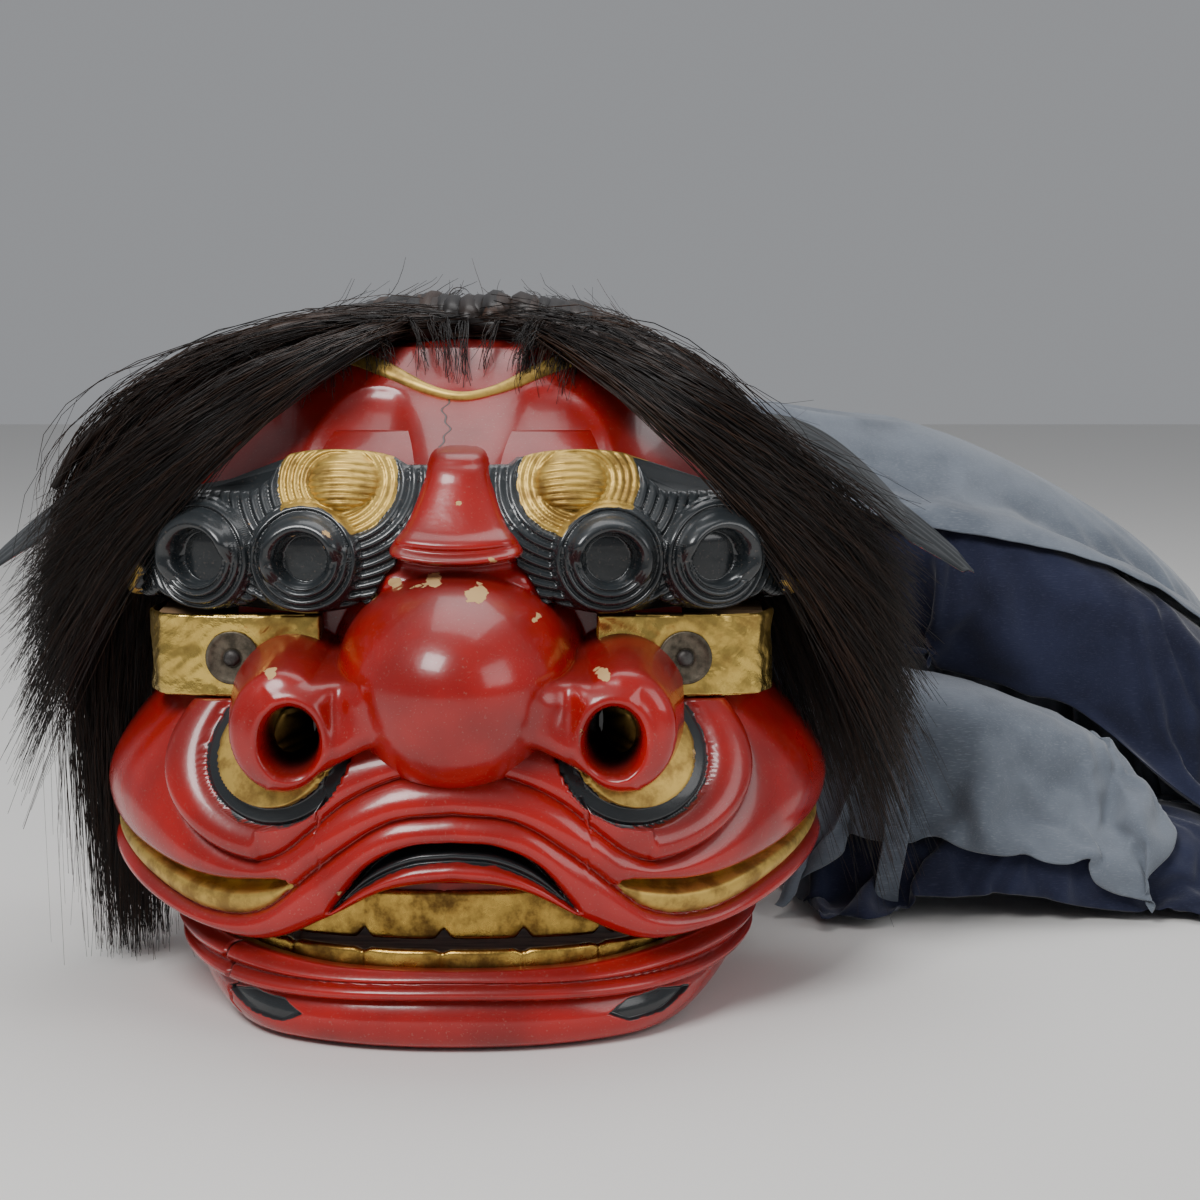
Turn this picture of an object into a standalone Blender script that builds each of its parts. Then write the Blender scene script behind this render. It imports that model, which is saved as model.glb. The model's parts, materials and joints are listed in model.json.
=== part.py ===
"""A lion dance head: a carved, lacquered wooden head whose mouth opens on a rear hinge, with loose ears,
a horsehair mane and a cloth body. The face looks along -Y, +Z is up, and the origin is on the table
under the lower jaw. The jaw stands still and the upper head tips back on the hinge rod to open the mouth."""

import math

import bmesh
import bpy
import numpy as np
from mathutils import Matrix, Vector

# ---------------------------------------------------------------- driving dimensions, in metres
GAP = 0.0005  # between pieces that touch
LOOSE = 0.0012  # between a carved piece and the rough back of its neighbour

CRANIUM_HALF_WIDTH = 0.150
CRANIUM_SPRING_Z = 0.120  # where the arch of the cranium starts above its straight walls
CRANIUM_RISE = 0.195  # height of that arch
CRANIUM_MID_Y = 0.010  # where the cranium is widest
CRANIUM_NOSE_DEPTH = 0.110  # from there forward to the tip of the dome
REAR_RIM_Y = 0.160
REAR_TAPER = 0.07  # share by which the section shrinks towards the rear rim
SHELL_WALL = 0.010
WALL_BOTTOM_Z = 0.056
JOINT_Z = 0.150  # the flat joint between the cranium and the muzzle
JOINT_REAR_Y = 0.0226

MUZZLE_HALF_WIDTH = 0.168
MUZZLE_DEPTH = 0.150
MUZZLE_CENTRE_Y = -0.010
MUZZLE_REAR_DEPTH = 0.085
MUZZLE_TOP_Z = 0.160  # the raised rim in front that carries the nose
RIM_HALF_WIDTH = 0.058
LIP_WALL = 0.018  # the lip in front of the teeth
LEDGE_Z = 0.0705  # the teeth and their gum stand under this ledge
LEDGE_DEPTH = 0.045

JAW_HALF_WIDTH = 0.140
JAW_DEPTH = 0.146
JAW_CENTRE_Y = -0.020
JAW_WALL = 0.026
JAW_LIP = 0.009
JAW_LEDGE_Z = 0.0188
JAW_RIM_Z = 0.040
JAW_REAR_DEPTH = 0.050
JAW_TAPER = 0.026  # how far the sides draw in from the lip down to the table
JAW_INNER_TAPER = 0.012
FLOOR_BOARD = 0.008
FLOOR_TAIL_Y = 0.014

HINGE_Y = 0.100
HINGE_Z = 0.085
HINGE_ROD_RADIUS = 0.006
HINGE_PLAY = 0.0003
ROD_OVERHANG = 0.010
ARM_INNER_X = 0.088
ARM_THICKNESS = 0.010
PEG_RADIUS = 0.0018
PEG_LENGTH = 0.020

GRIP_RADIUS = 0.010
UPPER_GRIP_Y = 0.055
UPPER_GRIP_Z = 0.190
LOWER_GRIP_Y = 0.020
LOWER_GRIP_Z = 0.036

TOOTH_SHEET = 0.0025
UPPER_TOOTH_Z = (0.0440, 0.0670)
UPPER_GUM_Z = (0.0500, LEDGE_Z - GAP)
LOWER_TOOTH_Z = (JAW_LEDGE_Z + GAP, 0.0432)
LOWER_GUM_Z = (JAW_LEDGE_Z + GAP, 0.0380)
GUM = 0.011

EYE_Z = (0.1508, 0.1890)
EYE_INNER_X = 0.064
EYE_OUTER_X = CRANIUM_HALF_WIDTH - 0.008
EYE_FRONT_Y = -0.104
EYE_SHEET = 0.0012
PUPIL_X = 0.105
PUPIL_Z = 0.169
PUPIL_RADIUS = 0.0125
PUPIL_THICKNESS = 0.0015
STUD_RADIUS = 0.0038

BROW_HALF_WIDTH = 0.158
BROW_DEPTH = 0.090
BROW_BACK_Y = -0.030
BROW_Z = (0.191, CRANIUM_SPRING_Z + CRANIUM_RISE - 0.053)

EAR_PIVOT = (CRANIUM_HALF_WIDTH - 0.020, 0.050, CRANIUM_SPRING_Z + CRANIUM_RISE - 0.053)
EAR_SLOPE = math.radians(35.6)  # of the cranium's outward normal at the ear
EAR_PIN_RADIUS = 0.0022
EAR_BARREL_RADIUS = 0.0062
EAR_BARREL_LENGTH = 0.016
EAR_REACH = 0.136  # from the pivot out to the tip
EAR_DROP = 0.076
EAR_SWEEP = 0.024  # how far back the tip lies
EAR_HALF_WIDTH = 0.026
EAR_THICKNESS = 0.0075
BRACKET_CHEEK = 0.006

BATTEN_Y = (0.138, 0.150)
BATTEN_THICKNESS = 0.004
CLOTH_THICKNESS = 0.002
COLLAR_Y = (0.131, 0.196)
TACK_RADIUS = 0.0032
TACK_HEIGHT = 0.0022
TACK_COUNT = 8

HAIR_STRIP_THICKNESS = 0.004
HAIR_THICKNESS = 0.020

CLOTH_START_X = CRANIUM_HALF_WIDTH + ROD_OVERHANG  # the heap lies outside the end of the hinge rod

RED_LACQUER = ("red_lacquer", (0.42, 0.012, 0.008), 0.25, 0.0)
BLACK_LACQUER = ("black_lacquer", (0.008, 0.010, 0.012), 0.2, 0.0)
GILDING = ("gilding", (0.62, 0.42, 0.09), 0.3, 1.0)
PUPIL_METAL = ("pupil_metal", (0.10, 0.09, 0.07), 0.45, 1.0)
BARE_WOOD = ("bare_wood", (0.36, 0.23, 0.12), 0.7, 0.0)
IRON = ("iron", (0.09, 0.08, 0.08), 0.5, 1.0)
HORSEHAIR = ("horsehair", (0.025, 0.018, 0.014), 0.6, 0.0)
LEATHER = ("leather", (0.10, 0.06, 0.04), 0.7, 0.0)
GREY_CLOTH = ("grey_cloth", (0.16, 0.18, 0.21), 0.9, 0.0)
NAVY_CLOTH = ("navy_cloth", (0.018, 0.022, 0.05), 0.9, 0.0)

for old in list(bpy.data.objects):
    bpy.data.objects.remove(old)

parts = bpy.data.collections.new("lion_head")
cutters = bpy.data.collections.new("cutters")
for collection in (parts, cutters):
    bpy.context.scene.collection.children.link(collection)
materials = {}


# ---------------------------------------------------------------- making objects
def material(finish):
    name, colour, roughness, metallic = finish
    if name not in materials:
        made = bpy.data.materials.new(name)
        made.use_nodes = True
        shader = made.node_tree.nodes["Principled BSDF"]
        shader.inputs["Base Color"].default_value = (*colour, 1.0)
        shader.inputs["Roughness"].default_value = roughness
        shader.inputs["Metallic"].default_value = metallic
        materials[name] = made
    return materials[name]


def object_of(name, bm, finish=None, smooth=True):
    """Turns a bmesh into a part, or into a hidden cutter when it has no finish."""
    mesh = bpy.data.meshes.new(name)
    bm.to_mesh(mesh)
    bm.free()
    made = bpy.data.objects.new(name, mesh)
    if finish is None:
        cutters.objects.link(made)
        made.hide_render = True
        made.display_type = "WIRE"
        return made
    parts.objects.link(made)
    mesh.materials.append(material(finish))
    if smooth:
        mesh.shade_smooth()
        mesh.set_sharp_from_angle(angle=math.radians(40))
    return made


def grid_faces(bm, rows):
    for low, high in zip(rows, rows[1:]):
        for a, b, c, d in zip(low, low[1:], high[1:], high):
            bm.faces.new((a, b, c, d))


def rows_of(bm, points):
    return [[bm.verts.new(p) for p in row] for row in points]


def tidy(bm):
    bmesh.ops.remove_doubles(bm, verts=bm.verts, dist=1e-6)
    bmesh.ops.recalc_face_normals(bm, faces=bm.faces)
    return bm


def slab(name, front, back, finish):
    """A solid between two grids of points with the same rows and columns, closed round its four edges."""
    bm = bmesh.new()
    near, far = rows_of(bm, front), rows_of(bm, back)
    grid_faces(bm, near)
    grid_faces(bm, far)
    for one, other in ((near[0], far[0]), (near[-1], far[-1])):
        grid_faces(bm, [one, other])
    for column in (0, -1):
        grid_faces(bm, [[row[column] for row in near], [row[column] for row in far]])
    return object_of(name, tidy(bm), finish)


def loft(name, sections, finish):
    """A solid through closed sections, each a ring of points, with a flat cap at each end."""
    bm = bmesh.new()
    rings = rows_of(bm, sections)
    grid_faces(bm, [ring + ring[:1] for ring in rings])
    for ring in (rings[0], rings[-1]):
        bm.faces.new(ring)
    return object_of(name, tidy(bm), finish)


def cylinder(name, centre, axis, radius, length, finish=None, segments=20, tip_radius=None):
    bm = bmesh.new()
    turn = Vector((0, 0, 1)).rotation_difference(Vector(axis)).to_matrix().to_4x4()
    bmesh.ops.create_cone(
        bm,
        cap_ends=True,
        segments=segments,
        radius1=radius,
        radius2=radius if tip_radius is None else tip_radius,
        depth=length,
        matrix=turn,
    )
    made = object_of(name, bm, finish)
    made.location = centre
    return made


def box(name, low, high, finish=None, turn=None):
    """A box from its corners; turn, a matrix, places it when its corners are in its own axes."""
    bm = bmesh.new()
    low, high = Vector(low), Vector(high)
    middle, size = (low + high) / 2, high - low
    bmesh.ops.create_cube(bm, size=1, matrix=Matrix.Translation(middle) @ Matrix.Diagonal((*size, 1)))
    made = object_of(name, bm, finish, smooth=False)
    if turn is not None:
        made.matrix_world = turn
    return made


def cut(target, cutter, operation="DIFFERENCE"):
    modifier = target.modifiers.new(operation.lower(), "BOOLEAN")
    modifier.operation = operation
    modifier.solver = "EXACT"
    modifier.object = cutter


def plate(name, outline, low_z, high_z, finish):
    """A flat board from its outline in plan."""
    return loft(name, [[(x, y, z) for x, y in outline] for z in (low_z, high_z)], finish)


# ---------------------------------------------------------------- the forms that pieces share
def power(value, exponent):
    return np.sign(value) * np.abs(value) ** exponent


def smoothstep(value, low, high):
    t = np.clip((value - low) / (high - low), 0, 1)
    return t * t * (3 - 2 * t)


def cranium(lift, swing, offset=0.0):
    """A point on the cranium. lift runs from 0 at the front pole over pi/2 at the widest section, and on
    to pi/2 + 1 at the rear rim; swing runs from 0 at the right spring over the top to pi at the left."""
    dome = np.minimum(lift, math.pi / 2)
    rear = np.clip(lift - math.pi / 2, 0, 1)
    grow = np.sin(dome) ** 0.75 * (1 - REAR_TAPER * rear)
    x = (CRANIUM_HALF_WIDTH * grow + offset) * power(np.cos(swing), 0.8)
    z = CRANIUM_SPRING_Z + (CRANIUM_RISE * grow + offset) * power(np.sin(swing), 0.8)
    y = CRANIUM_MID_Y - (CRANIUM_NOSE_DEPTH + offset) * np.cos(dome)
    return np.stack(np.broadcast_arrays(x, y + rear * (REAR_RIM_Y - CRANIUM_MID_Y), z), -1)


DOME_LIFTS = np.radians([3, 10, 18, 27, 36, 45, 54, 63, 72, 81, 90])
LIFTS = np.concatenate([DOME_LIFTS, math.pi / 2 + np.linspace(0.25, 1, 4)])
SWINGS = np.linspace(0, math.pi, 25)


def cranium_front_y(x, z):
    """How far forward the cranium reaches at that place of the front view."""
    across = np.abs(x) / CRANIUM_HALF_WIDTH
    up = np.maximum(z - CRANIUM_SPRING_Z, 0) / CRANIUM_RISE
    reach = np.minimum((across**2.5 + up**2.5) ** (0.4 / 0.75), 1)
    return CRANIUM_MID_Y - CRANIUM_NOSE_DEPTH * np.sqrt(1 - reach**2)


MUZZLE_PLAN = (MUZZLE_HALF_WIDTH, MUZZLE_DEPTH, MUZZLE_CENTRE_Y, MUZZLE_REAR_DEPTH)
MUZZLE_ANGLES = np.radians(np.linspace(-112, 112, 39))
JAW_PLAN = (JAW_HALF_WIDTH, JAW_DEPTH, JAW_CENTRE_Y, JAW_REAR_DEPTH)
JAW_ANGLES = np.radians(np.linspace(-106, 106, 35))


def lip_point(angle, plan, out):
    """Where the muzzle's or the jaw's plan outline is, at an angle from straight ahead, grown outwards."""
    half_width, depth, centre_y, rear_depth = plan
    x = (half_width + out) * power(np.sin(angle), 0.9)
    ahead = (depth + out) * np.maximum(np.cos(angle), 0) ** 0.9
    return x, centre_y - ahead + rear_depth * np.maximum(-np.cos(angle), 0)


def lip_ring(angle, plan, profile):
    """One closed section across the muzzle or the jaw from its (outwards, up) profile."""
    return [(*lip_point(angle, plan, out), z) for out, z in profile]


def upper_lip_edge(x):
    """Height of the upper lip's wavy lower edge: an arch in the middle, then a dip, then up to the corner."""
    half = np.abs(x)
    arch = 0.0330 * (1 - smoothstep(half, 0.0, 0.088))
    return 0.0445 + arch + 0.0215 * smoothstep(half, 0.100, 0.180)


def lip_bands(height, edge):
    """How far the three rounded lip bands stand out, at a height above the lip's lower edge."""
    step = 0.017
    return 0.0035 * np.sqrt(np.abs(np.sin(math.pi * np.clip((height - edge) / step, 0, 3))))


# ---------------------------------------------------------------- the upper head
def make_cranium_cutter():
    """The cranium above the joint as a closed solid, grown by the room that the carved pieces leave round it."""
    room = loft("cranium_room", cranium(LIFTS[:, None], SWINGS[None, :], LOOSE), None)
    cut(room, box("below_joint", (-0.3, -0.3, 0), (0.3, 0.3, JOINT_Z - GAP)))


def make_head_shell():
    """The hollow cranium: one carved wall, open behind and below, with two scoops over the brows."""
    arch = cranium(LIFTS[:, None], SWINGS[None, :])
    feet = []
    for column, heights in ((0, (WALL_BOTTOM_Z, 0.088)), (-1, (0.088, WALL_BOTTOM_Z))):
        foot = np.repeat(arch[:, column : column + 1 or None], 2, axis=1)
        foot[:, :, 2] = heights
        feet.append(foot)
    points = np.concatenate([feet[0], arch, feet[1]], axis=1)
    away = np.hypot(np.abs(points[..., 0]) - 0.042, points[..., 2] - 0.262)
    dish = 0.006 * (1 - smoothstep(away, 0.0, 0.030)) * (points[..., 1] < CRANIUM_MID_Y)
    points[..., 1] += dish
    bm = bmesh.new()
    grid_faces(bm, rows_of(bm, points))
    bmesh.ops.recalc_face_normals(bm, faces=bm.faces)
    if sum(face.normal.dot(face.calc_center_median() - Vector((0, 0.03, 0.12))) for face in bm.faces) < 0:
        bmesh.ops.reverse_faces(bm, faces=bm.faces)
    shell = object_of("head_shell", bm, RED_LACQUER)
    wall = shell.modifiers.new("wall", "SOLIDIFY")
    wall.thickness = SHELL_WALL
    wall.offset = -1
    cut(shell, box("muzzle_recess", (-0.25, -0.25, -0.1), (0.25, JOINT_REAR_Y, JOINT_Z)))
    across = (1, 0, 0)
    rods = (("rod_holes", HINGE_Y, HINGE_Z, HINGE_ROD_RADIUS), ("grip_holes", UPPER_GRIP_Y, UPPER_GRIP_Z, GRIP_RADIUS))
    for holes, y, z, radius in rods:
        cut(shell, cylinder(holes, (0, y, z), across, radius + GAP, 0.4, segments=24))
    return shell


def muzzle_rings(grow=0.0):
    """The muzzle's closed sections round the mouth: lip relief outside, a ledge and a deep top inside."""
    sections = []
    for angle in MUZZLE_ANGLES:
        x = lip_point(angle, MUZZLE_PLAN, 0)[0]
        edge = upper_lip_edge(x)
        top = MUZZLE_TOP_Z if abs(x) < RIM_HALF_WIDTH else JOINT_Z - GAP
        heights = np.linspace(edge, top, 11)
        fall = 0.028 * (np.maximum(heights - 0.095, 0) / 0.06) ** 2
        tuck = 0.008 * (np.maximum(0.095 - heights, 0) / 0.05) ** 2
        reach = 0.004 + lip_bands(heights, edge) - fall - tuck + grow
        heights[0] -= grow
        heights[-1] += grow
        shelf = LEDGE_DEPTH + 0.024 * max(math.cos(angle), 0)
        inside = [
            (-shelf, heights[-1]),
            (-shelf, 0.122),
            (-LEDGE_DEPTH, 0.115),
            (-LEDGE_DEPTH, LEDGE_Z),
            (-LIP_WALL, LEDGE_Z),
            (-LIP_WALL, edge + 0.003),
        ]
        sections.append(lip_ring(angle, MUZZLE_PLAN, [*zip(reach, heights), *inside]))
    return sections


def make_muzzle():
    """The carved upper jaw: a thick band bent round the mouth."""
    muzzle = loft("muzzle", muzzle_rings(), RED_LACQUER)
    cut(muzzle, bpy.data.objects["cranium_room"])


def bridge_share(z):
    """How far down the nose's bridge a height is: 0 at the top of the brows and 1 at the fold 40 mm below."""
    return smoothstep(-z, -BROW_Z[1], -BROW_Z[1] + 0.040)


def nose_reach(x, z):
    """How far the nose stands forward of y = 0: the largest of its bridge, bulb, flank and nostril wings."""
    bulb = 1 - (x / 0.054) ** 2 - ((z - 0.166) / 0.047) ** 2
    bulb = 0.124 + 0.068 * np.sqrt(np.maximum(bulb, 0))
    fold_z = BROW_Z[1] - 0.041
    bridge = 0.112 + 0.034 * bridge_share(z) - 0.010 * smoothstep(-z, -fold_z, -fold_z + 0.008)
    bridge = bridge - 0.010 * (x / 0.030) ** 2
    away = np.hypot(np.abs(x) - 0.0705, z - 0.1445)
    wing = 0.132 + 0.032 * np.sqrt(np.clip(1 - ((away - 0.0185) / 0.0125) ** 2, 0, 1))
    wing = np.where(away < 0.0185, np.maximum(wing, 0.142), wing)
    flank = 0.176 - 0.22 * np.abs(x) - 0.5 * np.maximum(z - 0.150, 0)
    flank = np.where((z < 0.16) & (np.abs(x) < 0.075), flank, 0)
    return np.maximum.reduce([np.where(z < 0.2125, bulb, 0), bridge, wing, flank])


def nose_half_width(z):
    """Half the width of the nose block at each height, from the nostrils up to the top of the bridge."""
    wings = np.where(z < 0.174, 0.0705 + 0.029 * np.sqrt(np.clip(1 - ((z - 0.1445) / 0.0285) ** 2, 0, 1)), 0)
    bulb = 0.0525 * np.sqrt(np.clip(1 - ((z - 0.170) / 0.045) ** 2, 0, 1))
    bridge = 0.0125 + 0.0165 * bridge_share(z)
    return np.maximum.reduce([wings, bulb, bridge])


def make_nose():
    """The carved nose: bridge, bulb and nostril wings, standing on the muzzle before the cranium."""
    heights = np.concatenate([np.linspace(0.1185, 0.176, 13), np.linspace(0.181, BROW_Z[1], 13)])
    shares = np.sin(np.linspace(-1, 1, 25) * math.pi / 2 * 0.92) / math.sin(math.pi / 2 * 0.92)
    z = heights[:, None] + 0 * shares
    x = nose_half_width(heights)[:, None] * shares
    front = -nose_reach(x, z)
    back = np.where(z < JOINT_Z + 0.005, EYE_FRONT_Y - 0.004, cranium_front_y(x, z) + 0.004)
    front = np.minimum(front, back - 0.008)
    nose = slab("nose", np.stack([x, front, z], -1), np.stack([x, back, z], -1), RED_LACQUER)
    cut(nose, bpy.data.objects["cranium_room"])
    cut(nose, loft("muzzle_room", muzzle_rings(LOOSE), None))
    eye_front = EYE_FRONT_Y - EYE_SHEET - 2 * GAP - PUPIL_THICKNESS - 0.003
    for side in (-1, 1):
        corners = sorted((side * (EYE_INNER_X - GAP), side * 0.2))
        low, high = (corners[0], eye_front, EYE_Z[0] - 0.004), (corners[1], 0.1, 0.3)
        cut(nose, box(f"eye_room_{side}", low, high))
    return nose


def make_brow(side, name):
    """A carved brow: a bank of hair locks that rolls into two big curls and wraps round the temple."""
    heights = np.linspace(BROW_Z[0], BROW_Z[1], 12)
    inner_x = 0.0125 + 0.0165 * bridge_share(heights) + 0.002
    bulb = 0.0525 * np.sqrt(np.clip(1 - ((heights - 0.170) / 0.045) ** 2, 0, 1))
    inner_x = np.maximum(inner_x, bulb + 0.002)
    start = np.arcsin((inner_x / BROW_HALF_WIDTH) ** (1 / 0.85))
    sweep = start[:, None] + np.linspace(0, 1, 19) * (math.radians(84) - start[:, None])
    x = BROW_HALF_WIDTH * np.sin(sweep) ** 0.85
    top = BROW_Z[1] - 0.018 * smoothstep(x, 0.080, 0.105) - 0.010 * smoothstep(x, 0.135, 0.158)
    z = BROW_Z[0] + (heights[:, None] - BROW_Z[0]) / (BROW_Z[1] - BROW_Z[0]) * (top - BROW_Z[0])
    y = BROW_BACK_Y - BROW_DEPTH * np.cos(sweep) ** 0.7
    for centre_x, centre_z in ((0.068, 0.2155), (0.117, 0.2150)):
        away = np.hypot(x - centre_x, z - centre_z)
        y = y - 0.007 * np.sqrt(np.clip(1 - (away / 0.025) ** 2, 0, 1))
    y = y + 0.012 * smoothstep(z, BROW_Z[1] - 0.024, BROW_Z[1])
    back = np.maximum(cranium_front_y(x, z) + 0.006, y + 0.010)
    shrink = 1 - 0.10 * smoothstep(x, 0.10, 0.158)
    front, rear = np.stack([side * x, y, z], -1), np.stack([side * x * shrink, back, z], -1)
    brow = slab(name, front, rear, BLACK_LACQUER)
    cut(brow, bpy.data.objects["cranium_room"])
    return brow


def make_eye(side, suffix):
    """One eye: a wooden block, a gilt copper sheet bent over it, an iron disc and its stud."""
    low, high = EYE_Z
    outline = [
        (EYE_INNER_X, -0.0925),
        (EYE_INNER_X, EYE_FRONT_Y),
        (EYE_OUTER_X - 0.012, EYE_FRONT_Y + 0.003),
        (EYE_OUTER_X, EYE_FRONT_Y + 0.012),
        (EYE_OUTER_X + 0.001, -0.052),
        (0.110, -0.040),
        (0.070, -0.060),
    ]
    base = [(side * x, y) for x, y in outline]
    made = plate("eye_block_" + suffix, base, low + 0.001, high - 0.001, BARE_WOOD)
    cut(made, bpy.data.objects["cranium_room"])
    bend = outline[1:5]
    inner, outer = [], []
    for at, (x, y) in enumerate(bend):
        before, after = bend[max(at - 1, 0)], bend[min(at + 1, len(bend) - 1)]
        along = Vector((after[0] - before[0], after[1] - before[1])).normalized()
        normal = Vector((along.y, -along.x))
        inner.append((x + normal.x * GAP, y + normal.y * GAP))
        outer.append((x + normal.x * (GAP + EYE_SHEET), y + normal.y * (GAP + EYE_SHEET)))
    sheet = [(side * x, y) for x, y in inner + outer[::-1]]
    plate("eye_sheet_" + suffix, sheet, low, high, GILDING)
    slope = Vector((0.003, -(EYE_OUTER_X - 0.012 - EYE_INNER_X), 0)).normalized()
    share = (PUPIL_X - EYE_INNER_X) / (EYE_OUTER_X - 0.012 - EYE_INNER_X)
    face_y = EYE_FRONT_Y + 0.003 * share - 2 * GAP - EYE_SHEET
    forward = Vector((side * slope.x, slope.y, 0))
    foot = Vector((side * PUPIL_X, face_y, PUPIL_Z))
    disc_middle = foot + forward * (PUPIL_THICKNESS / 2)
    cylinder("pupil_disc_" + suffix, disc_middle, forward, PUPIL_RADIUS, PUPIL_THICKNESS, PUPIL_METAL, 28)
    stud_middle = foot + forward * (PUPIL_THICKNESS + GAP + 0.001)
    cylinder("pupil_stud_" + suffix, stud_middle, forward, STUD_RADIUS, 0.002, IRON, 14, 0.0024)


def make_forehead_band():
    """The gilt moulding that borders the mane, dipping to a point over the bridge of the nose."""
    swings = np.radians(np.linspace(46, 134, 19))
    side = np.abs(np.degrees(swings) - 90) / 44
    low = np.radians(56.0 + 11 * smoothstep(side, 0.0, 0.75))
    high = low + np.radians(9)
    front, back = [], []
    for lift in (low, (low + high) / 2, high):
        front.append(cranium(lift, swings, 0.0048))
        back.append(cranium(lift, swings, 0.0014))
    slab("forehead_band", np.array(front), np.array(back), GILDING)


def make_palate():
    """The board that closes the roof of the mouth, held inside the muzzle."""
    edge = [lip_point(a, MUZZLE_PLAN, -LEDGE_DEPTH - LOOSE) for a in MUZZLE_ANGLES[4:-4]]
    plate("palate", edge, 0.100, 0.106, RED_LACQUER)


def strip(name, plan, angles, depth, thickness, heights, finish):
    """A strip bent round the mouth, at a depth behind the face of the lip."""
    low, high = heights
    profile = [(-depth, low), (-depth, high), (-depth - thickness, high), (-depth - thickness, low)]
    return loft(name, [lip_ring(angle, plan, profile) for angle in angles], finish)


def make_teeth():
    """Both rows of teeth, gilt copper strips, each on its wooden gum."""
    for name, plan, angles, depth, tooth_z, gum_z in (
        ("upper", MUZZLE_PLAN, MUZZLE_ANGLES[5:-5], LIP_WALL + GAP, UPPER_TOOTH_Z, UPPER_GUM_Z),
        ("lower", JAW_PLAN, JAW_ANGLES[4:-4], JAW_LIP + GAP, LOWER_TOOTH_Z, LOWER_GUM_Z),
    ):
        strip(name + "_teeth", plan, angles, depth, TOOTH_SHEET, tooth_z, GILDING)
        gum_depth = depth + TOOTH_SHEET + GAP
        strip(name + "_gum", plan, angles[1:-1], gum_depth, GUM, gum_z, RED_LACQUER)


def make_ear(side, suffix):
    """A drooping leaf-shaped ear with a barrel at its root, the bracket that it swings in, and the pin."""
    pivot = Vector((side * EAR_PIVOT[0], EAR_PIVOT[1], EAR_PIVOT[2]))
    sections = []
    for t in np.linspace(0.0, 1.0, 13):
        middle_x = 0.004 + (EAR_REACH - 0.004) * t
        middle_z = 0.010 * math.sin(math.pi * min(t * 1.4, 1)) - EAR_DROP * t**1.5
        middle_y = EAR_SWEEP * t
        width = 0.007 + EAR_HALF_WIDTH * math.sin(math.pi * min(t * 0.93 + 0.05, 1)) ** 0.8 * (1 - 0.45 * t)
        thick = EAR_THICKNESS * (1 - 0.6 * t)
        ring = []
        for step in range(12):
            a = 2 * math.pi * step / 12
            across, up = width * math.cos(a), thick / 2 * math.sin(a)
            curl = -6.0 * across * across
            tilt = 0.36 * across
            x, z = pivot.x + side * middle_x, pivot.z + middle_z + up + curl + tilt
            ring.append((x, pivot.y + middle_y + across, z))
        sections.append(ring)
    ear = loft("ear_" + suffix, sections, BLACK_LACQUER)
    along = (0, 1, 0)
    barrel = cylinder("ear_barrel_" + suffix, pivot, along, EAR_BARREL_RADIUS, EAR_BARREL_LENGTH, segments=18)
    cut(ear, barrel, "UNION")
    # The leaf is cut back round the bracket's two cheeks, so that the ear can lift.
    for end in (-1, 1):
        low = Vector((-0.02, end * EAR_BARREL_LENGTH / 2, -0.04))
        high = Vector((0.016, end * 0.06, 0.04))
        corners = [(min(a, b), max(a, b)) for a, b in zip(low, high)]
        place = Matrix.Translation(pivot) @ Matrix.Diagonal((side, 1, 1, 1))
        relief = box(f"ear_relief_{suffix}_{end}", [c[0] for c in corners], [c[1] for c in corners])
        relief.data.transform(place)
        if side < 0:
            relief.data.flip_normals()
        cut(ear, relief)
    cut(ear, cylinder("ear_bore_" + suffix, pivot, along, EAR_PIN_RADIUS + HINGE_PLAY, 0.06, segments=18))

    normal = Vector((side * math.cos(EAR_SLOPE), 0, math.sin(EAR_SLOPE)))
    tangent = Vector((0, 1, 0)).cross(normal)
    axes = Matrix((tangent, (0, 1, 0), normal)).transposed().to_4x4()
    place = Matrix.Translation(pivot) @ axes
    half_y = EAR_BARREL_LENGTH / 2 + GAP + BRACKET_CHEEK
    half_x, foot, head = 0.0085, -0.0155, 0.006
    bracket = box("ear_bracket_" + suffix, (-half_x, -half_y, foot), (half_x, half_y, head), BARE_WOOD, place)
    slot_half = half_y - BRACKET_CHEEK
    cut(bracket, box("ear_slot_" + suffix, (-0.03, -slot_half, -0.0085), (0.03, slot_half, 0.03), None, place))
    cut(bracket, cylinder("pin_bore_" + suffix, pivot, along, EAR_PIN_RADIUS + GAP, 0.06, segments=18))
    grown = (half_x + GAP, half_y + GAP)
    pocket = box("ear_pocket_" + suffix, (-grown[0], -grown[1], foot - GAP), (*grown, 0.05), None, place)
    cut(bpy.data.objects["head_shell"], pocket)
    cylinder("ear_pin_" + suffix, pivot, along, EAR_PIN_RADIUS, 2 * half_y + 0.004, IRON, 16)


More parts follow.
